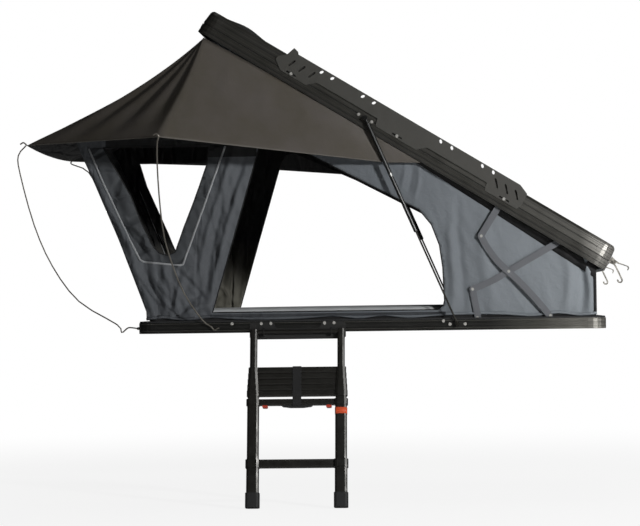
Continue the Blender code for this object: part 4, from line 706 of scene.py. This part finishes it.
def foldDepth(x, z, lines):
    # Each fold is a soft ridge that snakes a little and dies away at its ends.
    depth = 0.0
    over = pucker["foldOverrun"]
    for (ax, az), (bx, bz), width, rise in lines:
        dx, dz = bx - ax, bz - az
        t = ((x - ax) * dx + (z - az) * dz) / (dx * dx + dz * dz)
        if -over < t < 1 + over:
            away = (x - ax - dx * t) * dz - (z - az - dz * t) * dx
            away = away / math.hypot(dx, dz) / width + 0.5 * math.sin(5 * t + 9 * ax)
            if abs(away) < 3.2:   # beyond that nothing of it is left
                fade = max(0.0, math.sin(math.pi * (t + over) / (1 + 2 * over))) ** 0.7
                depth += pucker["foldShare"] * rise * math.exp(-away * away) * fade
    return depth


def puckerDepth(x, z, side):
    # Between the folds the cloth is puckered: sharp little creases that run down and outwards.
    loose = 1.0 - pucker["tautShare"] * min(1.0, max(0.0, (x - pucker["tautFrom"]) / pucker["tautOver"]))
    long, short = pucker["lean"]
    across, down = x * long + z * short, z * long - x * short
    shift = side * pucker["sideShift"]
    spot = Vector((across * pucker["across"], shift, down * pucker["down"]))
    depth = loose * pucker["depth"] * (pucker["level"] - abs(noise.noise(spot)))
    depth += loose * pucker["fineDepth"] * noise.noise(spot * pucker["fineRatio"])
    slow = pucker["swellAcross"]
    return depth + pucker["swell"] * noise.noise(Vector((x * slow, shift, z * slow)))


def wallDepth(side):
    plane = tray["half"] - wall["inset"]
    openings = [windowLoop(side), doorLoop(side)]
    lines = [(*station([a, b]), width, rise) for a, b, width, rise in folds]

    def depthAt(x, z):
        depth = foldDepth(x, z, lines) + puckerDepth(x, z, side)
        near = min(edgeDistance(x, z, loop) for loop in openings)
        # Beside the openings the cloth is taut; its foot waves a little along the tray.
        free = pucker["edgeShare"] + (1 - pucker["edgeShare"]) * min(1.0, near / pucker["edgeReach"])
        foot = pucker["footDepth"] * math.sin(pucker["footWaves"] * (x - tray["front"]) + 1.3)
        foot *= math.exp(-max(0.0, z - pucker["footFrom"]) / pucker["footReach"])
        return side * (plane + min(depth * free + foot, wall["mostProud"]))

    return depthAt


def frontEdge(count):
    # From the tray up to the hood, drawn in a little between them; side walls and front wall share it.
    low = (tray["front"] + wall["footStation"], wall["foot"])
    high = (tray["front"] + wall["hoodTip"][0], wall["hoodTip"][1])
    line = []
    for i in range(count + 1):
        t = i / count
        bow = wall["frontBow"] * math.sin(math.pi * t)
        line.append((low[0] + (high[0] - low[0]) * t + bow, low[1] + (high[1] - low[1]) * t))
    return line


def wallOutline():
    foot = []
    front = [p for p in frontEdge(24) if p[1] > wall["hem"] + 0.004]
    start, end = front[0][0] + 0.002, wall["rear"]
    waves, shift, shiftWaves = wall["hemWaves"]
    for i in range(61):
        x = start + (end - start) * i / 60
        wave = math.sin(waves * x + shift * math.sin(shiftWaves * x))
        foot.append((x, wall["hem"] + wall["hemWave"] * wave))
    # Up the rear edge, along inside the lid and down behind its front end
    top = [(end, lidLine(end, wall["lidHeight"])), lidPoint(lid["length"] - 0.070, wall["lidHeight"]),
           lidPoint(lid["length"] - 0.064, -0.008)]
    return foot + top + front[::-1]


def faceOutward(shape, outward):
    bm = bmesh.new()
    bm.from_mesh(shape.data)
    bmesh.ops.recalc_face_normals(bm, faces=bm.faces)
    if sum(f.normal.dot(outward) for f in bm.faces) < 0:
        bmesh.ops.reverse_faces(bm, faces=bm.faces)
    bm.to_mesh(shape.data)
    bm.free()


def wallTrim(name, side, outline, depthAt, finishes):
    # Piping, flap, zip, bindings, tape and strips of painted shade of one side wall. They follow its folds at
    # a small distance.
    window, door = station(windowTrim["piping"]), doorLoop(side)

    def onWall(points, out):
        return [(x, depthAt(x, z) + side * out, z) for x, z in points]

    def strip(label, loop, out):
        made, _ = panel(label + name, loop, [], tapesAndGapShades["cell"], lambda x, z: depthAt(x, z) + side * out,
                        [finishes["tape"]], tapesAndGapShades["thickness"])
        trim.append(made)

    bead = tube("windowPiping" + name, onWall(divideLine(window, 0.01), windowTrim["pipingProud"]),
                windowTrim["pipingRadius"], finishes["piping"], flat=0.5)
    flap, _ = panel("windowFlap" + name, window, [windowLoop(side)], windowTrim["flapCell"],
                    lambda x, z: depthAt(x, z) + side * windowTrim["flapProud"],
                    [finishes["flap"], finishes["inside"]], windowTrim["flapThickness"])
    trim = [bead, flap]
    if side > 0:
        for i, line in enumerate(windowTrim["innerLines"]):
            path = onWall(divideLine(station(line), 0.02), windowTrim["lineProud"])
            trim.append(tube("windowLine%d" % i, path, windowTrim["lineRadius"], finishes["piping"], sides=6))
    zipLine = onWall(divided(door, 0.012), doorTrim["zipProud"])
    trim.append(tube("doorZip" + name, zipLine, doorTrim["zipRadius"], finishes["tape"], closed=True,
                     sides=6))
    binding = onWall(divided(windowLoop(side), 0.01), windowTrim["bindingProud"])
    trim.append(tube("windowBinding" + name, binding, windowTrim["bindingRadius"], finishes["tape"],
                     closed=True, sides=6))

    # The foot of the wall is rolled round a cord inside the cloth.
    foot = onWall([p for p in outline if p[1] < wall["hem"] + wall["hemWave"] + 0.001], wall["rollProud"])
    trim.append(tube("footRoll" + name, foot, wall["rollRadius"], finishes["canvas"]))

    # Black tape runs down the rear edge. Black strips of painted shade fill the gaps along the lid, from the
    # scissors rearwards, and behind the foot hem.
    rear, hem = wall["rear"], wall["hem"]
    start = tray["front"] + tapesAndGapShades["lidStation"]
    startLow, rearLow = tapesAndGapShades["lidLow"]
    strip("lidGapShade", [(start, lidLine(start, startLow)), (rear, lidLine(rear, rearLow)),
                      (rear, lidLine(rear, tapesAndGapShades["lidHigh"])), (start, lidLine(start, tapesAndGapShades["lidHigh"]))],
          tapesAndGapShades["lidProud"])
    edge, over = rear - tapesAndGapShades["rearWidth"], rear + tapesAndGapShades["rearOver"]
    strip("rearTape", [(edge, hem), (over, hem), (over, lidLine(rear, tapesAndGapShades["rearTop"])),
                       (edge, lidLine(edge, tapesAndGapShades["rearTop"]))], tapesAndGapShades["rearProud"])
    # Painted shade in the gap behind the foot hem
    start, end = tray["front"] + wall["footStation"] + tapesAndGapShades["footStation"], rear - tapesAndGapShades["footEnd"]
    strip("footGapShade", [(start, tapesAndGapShades["footLow"]), (end, tapesAndGapShades["footLow"]), (end, tapesAndGapShades["footHigh"]),
                       (start - tapesAndGapShades["footLean"], tapesAndGapShades["footHigh"])], tapesAndGapShades["footProud"])
    return trim


def makeWalls(finishes):
    outline = wallOutline()
    for name, side in (("Near", -1), ("Far", 1)):
        holes = [windowLoop(side), doorLoop(side)]
        depthAt = wallDepth(side)
        shape, area = panel("wall" + name, outline, holes, wall["cell"], depthAt,
                            [finishes["canvas"], finishes["inside"]], wall["thickness"])
        faceOutward(shape, Vector((0, side, 0)))
        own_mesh(shape)
        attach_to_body(shape, "base")
        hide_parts("wall_near" if side < 0 else "wall_far")
        trim = wallTrim(name, side, outline, depthAt, finishes)
        for piece in trim:
            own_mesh(piece)
            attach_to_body(piece, "base")
    print("scene: side walls")


def bentSheet(name, line, halves, across, ripple, finishes, thickness):
    # A cloth that follows a line in X and Z from side to side, lifted off it by the ripple.
    bm = bmesh.new()
    rows = []
    total = len(line) - 1
    for i, (x, z) in enumerate(line):
        ahead, behind = line[min(i + 1, total)], line[max(i - 1, 0)]
        along = Vector((ahead[0] - behind[0], ahead[1] - behind[1])).normalized()
        row = []
        for j in range(across + 1):
            low, high = halves(x, z)
            y = low + (high - low) * j / across
            lift = ripple(i / total, j / across)
            row.append(bm.verts.new((x - along.y * lift, y, z + along.x * lift)))
        rows.append(row)
    for first, second in zip(rows, rows[1:]):
        for j in range(across):
            bm.faces.new((first[j], first[j + 1], second[j + 1], second[j]))
    return makeObject(name, bm, finishes, thickness)


def makeEndWalls(finishes):
    near, far = wallDepth(-1), wallDepth(1)

    def halves(x, z):
        return near(x, z), far(x, z)

    half = tray["half"] - wall["inset"]
    under = lidPoint(lid["length"] - 0.066, -0.010)
    top = lidPoint(lid["length"] - 0.072, wall["lidHeight"])
    line = frontEdge(24)
    line += divideLine([line[-1], under, top], 0.04)[1:]

    def frontRipple(along, across):
        # Upright part: shallow waves. Above the hood's tip the cloth hangs slack under the fly.
        start, end = wall["hoodSpan"]
        sag = math.sin(math.pi * across) ** 0.6
        slack = math.sin(math.pi * (along - start) / (end - start)) if start < along < end else 0.0
        wave = math.sin(9 * math.pi * across + 3 * along) * math.sin(math.pi * along) ** 0.5
        wave *= wall["frontWave"]
        return sag * (wave * (1 - slack) - wall["hoodSlack"] * slack)

    front = bentSheet("wallFront", line, halves, wall["acrossCells"], frontRipple,
                      [finishes["inside"], finishes["canvas"]], wall["thickness"])
    length = sum(math.dist(a, b) for a, b in zip(line, line[1:]))
    sheets = [(front, "wall_front", (2 * half, length), "base_end_front")]

    low, high = wall["foot"], lidLine(wall["rear"] - 0.002, wall["lidHeight"])
    line = divideLine([(wall["rear"] - 0.002, low), (wall["rear"] - 0.002, high)], 0.03)

    def rearRipple(along, across):
        return wall["rearWave"] * math.sin(13 * math.pi * across) * math.sin(math.pi * along)

    rear = bentSheet("wallRear", line, halves, wall["acrossCells"], rearRipple,
                     [finishes["canvas"], finishes["inside"]], wall["thickness"])
    sheets.append((rear, "wall_rear", (2 * half, high - low), "base_end_rear"))
    for shape, cad, flat, restsOn in sheets:
        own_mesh(shape)
        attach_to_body(shape, "base")
        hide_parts(cad)
    print("scene: end walls")


# The gas struts' pins: the upper along the lid and above its rim, the lower in X and Z. The fly's hem meets
# a strut at this share of its length.
strut = {"lidPin": (1.303, 0.044), "basePin": (0.399, 0.028), "behind": 0.215}

# Fly: one cloth from the lid's rim out to the tips of the spring-steel rods
fly = {
    "thickness": 0.0012,
    "frontReach": 0.515, "frontHeight": 0.885, "frontHalf": 0.652,   # the front rods' tips
    "sideStation": 0.167, "sideHeight": 0.880, "splay": 0.450,   # the side rods' tips
    "endStation": 0.978,   # along the lid, where it ends at the rear
    "inset": 0.008, "under": 0.0012, "pastPin": 0.010,   # where it is held along the lid's rim
    "setBack": 0.044, "frontDrop": 0.013, "frontIn": 0.020,
    "sag": 0.041, "hemSag": 0.014, "fold": 0.008,
    "hemRadius": 0.0022, "hemLift": 0.001,
    "rows": 40, "columns": {"rear": 10, "side": 44, "ridge": 30, "front": 40},
}


def flyCorners(side):
    rear = lidPoint(fly["endStation"], -fly["under"])
    rear = Vector((rear[0], side * (tray["half"] - fly["inset"]), rear[1]))
    pin = lidPoint(*strut["lidPin"])
    foot = Vector((strut["basePin"][0], side * tray["half"], strut["basePin"][1]))
    behind = Vector((pin[0], side * tray["half"], pin[1])).lerp(foot, strut["behind"])
    out = side * (tray["half"] + fly["splay"])
    tip = Vector((tray["front"] + fly["sideStation"], out, fly["sideHeight"]))
    front = Vector((tray["front"] - fly["frontReach"], side * fly["frontHalf"], fly["frontHeight"]))
    return rear, behind, tip, front


def flyHem():
    # Columns run round the fly from the near rear corner to the far one: where each starts, where it ends,
    # how free it hangs, and on which part it lies.
    strutStation = strut["lidPin"][0] + fly["pastPin"]
    frontStation = lid["length"] - fly["setBack"]
    edge = tray["half"] - fly["inset"]
    count = fly["columns"]

    def attach(along, y, drop=0.0):
        x, z = lidPoint(along, -fly["under"] - drop)
        return Vector((x, y, z))

    halves = []
    for side in (-1, 1):
        rear, behind, tip, front = flyCorners(side)
        columns = []
        for i in range(count["rear"]):
            t = (i + 0.2) / (count["rear"] + 0.2)
            top = attach(fly["endStation"] + (strutStation - fly["endStation"]) * t, side * edge)
            columns.append((top, rear.lerp(behind, t), 0.0, ("rear", t)))
        for i in range(count["side"]):
            t = i / count["side"]
            along = strutStation + (frontStation - strutStation) * t
            top = attach(along, side * edge, fly["frontDrop"] * t ** 3)
            columns.append((top, behind.lerp(tip, t), t, ("side", t)))
        for i in range(count["ridge"] + 1):
            t = i / count["ridge"]
            top = attach(frontStation, side * (edge - fly["frontIn"] * t), fly["frontDrop"])
            columns.append((top, tip.lerp(front, t), 1.0, ("ridge", t)))
        halves.append(columns)
    near, far = halves
    columns = list(near)
    for i in range(1, count["front"]):
        t = i / count["front"]
        hem = near[-1][1].lerp(far[-1][1], t)
        hem.z -= fly["hemSag"] * 4 * t * (1 - t)
        columns.append((near[-1][0].lerp(far[-1][0], t), hem, 1.0, ("front", t)))
    return columns + far[::-1]


def flyFold(part, t, s):
    # Waves that run from the lid to the hem, strongest between them.
    bow = 4 * s * (1 - s)
    if part == "side":
        wide = 0.6 * math.sin(2 * math.pi * (5 * t + 1.1 * s)) * bow * t
        return wide + 0.5 * math.sin(2 * math.pi * 9 * t) * (1 - s) ** 2 * s * 4
    if part == "ridge":
        return 1.2 * math.sin(2 * math.pi * (3.5 * t + 0.35 * s)) * bow
    if part == "front":
        return 0.8 * math.sin(2 * math.pi * (6 * t + 0.4 * math.sin(3 * t))) * bow * math.sin(math.pi * t)
    return 0.0


def makeFly(finishes):
    columns = flyHem()
    grid = []
    for k in range(fly["rows"] + 1):
        s = k / fly["rows"]
        row = []
        for top, hem, loose, (part, t) in columns:
            point = top.lerp(hem, s)
            sag = -fly["sag"] * loose * (4 * s * (1 - s)) * (1.5 - 1.2 * s)
            point.z += sag + fly["fold"] * flyFold(part, t, s)
            row.append(point)
        grid.append(row)
    bm = bmesh.new()
    verts = [[bm.verts.new(p) for p in row] for row in grid]
    area = 0.0
    for first, second in zip(verts, verts[1:]):
        for j in range(len(first) - 1):
            face = bm.faces.new((first[j], first[j + 1], second[j + 1], second[j]))
            area += face.calc_area()
    bmesh.ops.recalc_face_normals(bm, faces=bm.faces)
    if sum(f.normal.z for f in bm.faces) < 0:
        bmesh.ops.reverse_faces(bm, faces=bm.faces)
    sheet = makeObject("flyCloth", bm, [finishes["fly"], finishes["inside"]], fly["thickness"])
    lifted = [p + Vector((0, 0, fly["hemLift"])) for p in grid[-1]]
    hem = tube("flyHem", lifted, fly["hemRadius"], finishes["hem"], sides=6)
    for piece in (sheet, hem):
        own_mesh(piece)
        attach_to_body(piece, "base")
    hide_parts("fly")


mattress = {
    "half": 0.600, "from": 0.085, "to": 2.075, "low": 0.0243, "top": 0.118,
    # Its rim from the floor up: how far it is drawn in, and at which share of the height
    "rim": [(0.020, 0.0), (0.004, 0.10), (0.0, 0.30), (0.0, 0.62), (0.006, 0.80), (0.018, 0.90)],
    "rimWave": 0.0015, "topWave": 0.0012, "columns": 72, "rows": 44,
}


def makeMattress(finishes):
    start, end = tray["front"] + mattress["from"], tray["front"] + mattress["to"]
    low, top, half = mattress["low"], mattress["top"], mattress["half"]
    columns, rows = mattress["columns"], mattress["rows"]
    bm = bmesh.new()
    edge = [(i, 0) for i in range(rows)] + [(rows, j) for j in range(columns)]
    edge += [(i, columns) for i in range(rows, 0, -1)] + [(0, j) for j in range(columns, 0, -1)]
    middle = Vector(((start + end) / 2, 0, 0))
    reach = Vector(((end - start) / 2, half, 0))

    def rim(i, j, inset, rise):
        p = Vector((start + (end - start) * j / columns, half * (2 * i / rows - 1), 0))
        p.x = (p.x - middle.x) * (reach.x - inset) / reach.x + middle.x
        p.y = p.y * (reach.y - inset) / reach.y
        p.z = low + (top - low) * rise + mattress["rimWave"] * math.sin(j * 1.3 + i * 1.7) * rise
        return p

    rings = [[bm.verts.new(rim(i, j, inset, rise)) for i, j in edge] for inset, rise in mattress["rim"]]
    for first, second in zip(rings, rings[1:]):
        for i in range(len(edge)):
            j = (i + 1) % len(edge)
            bm.faces.new((first[i], first[j], second[j], second[i]))
    bm.faces.new(rings[0])
    grid = dict(zip(edge, rings[-1]))
    lastInset, lastRise = mattress["rim"][-1]
    for i in range(1, rows):
        for j in range(1, columns):
            # The top is gently crowned, with shallow waves across it.
            p = rim(i, j, lastInset, lastRise)
            crown = (math.sin(math.pi * i / rows) * math.sin(math.pi * j / columns)) ** 0.3
            p.z = low + (top - low) * (lastRise + (1 - lastRise) * crown)
            p.z -= mattress["topWave"] * (1 + math.sin(0.9 * i)) * crown
            grid[i, j] = bm.verts.new(p)
    for i in range(rows):
        for j in range(columns):
            bm.faces.new((grid[i, j], grid[i + 1, j], grid[i + 1, j + 1], grid[i, j + 1]))
    bmesh.ops.recalc_face_normals(bm, faces=bm.faces)
    pad = makeObject("mattressPad", bm, [finishes["cover"]])
    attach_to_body(pad, "base")
    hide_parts("mattress")
    print("scene: mattress")


ladderBand = {
    "x": -0.136, "pivot": (-0.72, 0.003), "lean": math.radians(14.0), "from": 0.360, "to": 0.389,
    "corner": [(0.0276, 0.0110), (0.0246, 0.0185), (0.0172, 0.0216)],   # one corner of its section
    "thickness": 0.0006,
}


def makeBand(finishes):
    # A plain coloured sleeve round one stile, whose section is a rounded oblong.
    lean = ladderBand["lean"]
    quarter = ladderBand["corner"]
    ring = quarter + [(-x, out) for x, out in quarter[::-1]]
    ring += [(-x, -out) for x, out in ring]
    bm = bmesh.new()
    loops = []
    for down in (ladderBand["from"], ladderBand["to"]):
        middle = Vector((ladderBand["x"], ladderBand["pivot"][0] - down * math.sin(lean),
                         ladderBand["pivot"][1] - down * math.cos(lean)))
        around = [Vector((x, -out * math.cos(lean), out * math.sin(lean))) for x, out in ring]
        loops.append([bm.verts.new(middle + away) for away in around])
    for i in range(len(ring)):
        j = (i + 1) % len(ring)
        bm.faces.new((loops[0][i], loops[0][j], loops[1][j], loops[1][i]))
    bmesh.ops.recalc_face_normals(bm, faces=bm.faces)
    band = makeObject("stileBand", bm, [finishes["orangeBand"]], ladderBand["thickness"])
    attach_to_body(band, "ladder_2")
    print("scene: stile band")


# Studio


camera = {"place": (0.454, -11.9, 0.135), "target": (-0.230, -0.70, 0.317), "roll": -0.77, "lens": 137.0}
light = {
    "keyFrom": (4.6, -6.6, 1.9), "keyAim": (0.0, 0.0, 0.5), "keySize": 0.55, "keyPower": 445.0,
    "fillFrom": (-4.2, -5.0, 1.2), "fillAim": (-0.3, 0.0, 0.4), "fillPower": 1.0,
    "backFrom": (2.0, 7.0, 3.2), "backAim": (0.2, 0.5, 0.4), "backPower": 110.0,
    "softSize": 3.0, "topStrength": 0.3, "topAngle": 30.0, "world": 0.022,
}
ground = {"half": 30.0, "white": 0.86, "fadeFrom": 2.0, "fadeTo": 6.5}   # how white it is, and where it fades


def aim(obj, position, target, roll=0.0):
    obj.location = position
    direction = Vector(target) - Vector(position)
    obj.rotation_mode = "QUATERNION"
    obj.rotation_quaternion = direction.to_track_quat("-Z", "Y")
    if roll:
        turned = obj.rotation_quaternion.to_matrix() @ Matrix.Rotation(math.radians(roll), 3, "Z")
        obj.rotation_quaternion = turned.to_quaternion()


def areaLight(name, position, target, size, power):
    data = bpy.data.lights.new(name, "AREA")
    data.size = size
    data.energy = power
    made = bpy.data.objects.new(name, data)
    bpy.context.collection.objects.link(made)
    aim(made, position, target)


def paleFloor():
    # Matt white paper. To the camera it is nearly white near the tent, keeping a soft shadow, and pure white
    # further off.
    made = material("mattWhitePaper", "#F2F2F1", 0.9)
    tree = made.node_tree
    away = node(tree, "VectorMath", {0: node(tree, "TexCoord").outputs["Object"]}, operation="LENGTH")
    fade = node(tree, "MapRange", {"Value": away.outputs["Value"], "From Min": ground["fadeFrom"],
                                   "From Max": ground["fadeTo"], "To Min": ground["white"], "To Max": 1.0},
                interpolation_type="SMOOTHSTEP")
    seen = node(tree, "LightPath").outputs["Is Camera Ray"]
    share = node(tree, "Math", {0: seen, 1: fade.outputs["Result"]}, operation="MULTIPLY")
    white = node(tree, "Emission", {"Color": (1, 1, 1, 1), "Strength": 1.0})
    mix = node(tree, "MixShader", {0: share.outputs["Value"], 1: shaderOf(made).outputs[0],
                                   2: white.outputs[0]})
    tree.links.new(mix.outputs[0], tree.nodes["Material Output"].inputs["Surface"])
    return made


def makeStudio():
    scene = bpy.context.scene
    data = bpy.data.cameras.new("Camera")
    data.lens = camera["lens"]
    data.sensor_width = 36.0
    made = bpy.data.objects.new("Camera", data)
    scene.collection.objects.link(made)
    aim(made, camera["place"], camera["target"], camera["roll"])
    scene.camera = made
    scene.view_settings.view_transform = "Standard"

    world = bpy.data.worlds.new("Studio")
    scene.world = world
    world.use_nodes = True
    tree = world.node_tree
    tree.nodes.clear()
    # White where the camera sees it, and only a faint light on the tent
    path = node(tree, "LightPath")
    seen = node(tree, "Math", {0: path.outputs["Is Camera Ray"], 1: path.outputs["Is Transmission Ray"]},
                operation="MAXIMUM")
    strength = node(tree, "MapRange", {"Value": seen.outputs["Value"], "To Min": light["world"],
                                       "To Max": 1.0})
    background = node(tree, "Background", {"Color": (1, 1, 1, 1), "Strength": strength.outputs["Result"]})
    node(tree, "OutputWorld", {"Surface": background.outputs["Background"]})

    areaLight("Key", light["keyFrom"], light["keyAim"], light["keySize"], light["keyPower"])
    top = bpy.data.lights.new("Top", "SUN")
    top.energy = light["topStrength"]
    top.angle = math.radians(light["topAngle"])
    scene.collection.objects.link(bpy.data.objects.new("Top", top))
    areaLight("Fill", light["fillFrom"], light["fillAim"], light["softSize"], light["fillPower"])
    areaLight("Back", light["backFrom"], light["backAim"], light["softSize"], light["backPower"])

    # The ladder's feet stand on the floor.
    half, level = ground["half"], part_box("ladder_foot_left")[0].z - 0.001
    mesh = bpy.data.meshes.new("Floor")
    corners = [(-half, -half, level), (half, -half, level), (half, half, level), (-half, half, level)]
    mesh.from_pydata(corners, [], [(0, 1, 2, 3)])
    floor = bpy.data.objects.new("Floor", mesh)
    scene.collection.objects.link(floor)
    mesh.materials.append(paleFloor())
    print("scene: studio")


# The start-up objects go before the frame is loaded.
for spare in list(bpy.data.objects):
    bpy.data.objects.remove(spare, do_unlink=True)
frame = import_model()
finishes = {**makeMetals(), **makePlastics(), **makeCloths()}
dressFrame(frame, finishes)
makeWalls(finishes)
makeEndWalls(finishes)
makeFly(finishes)
makeMattress(finishes)
makeBand(finishes)
makeStudio()
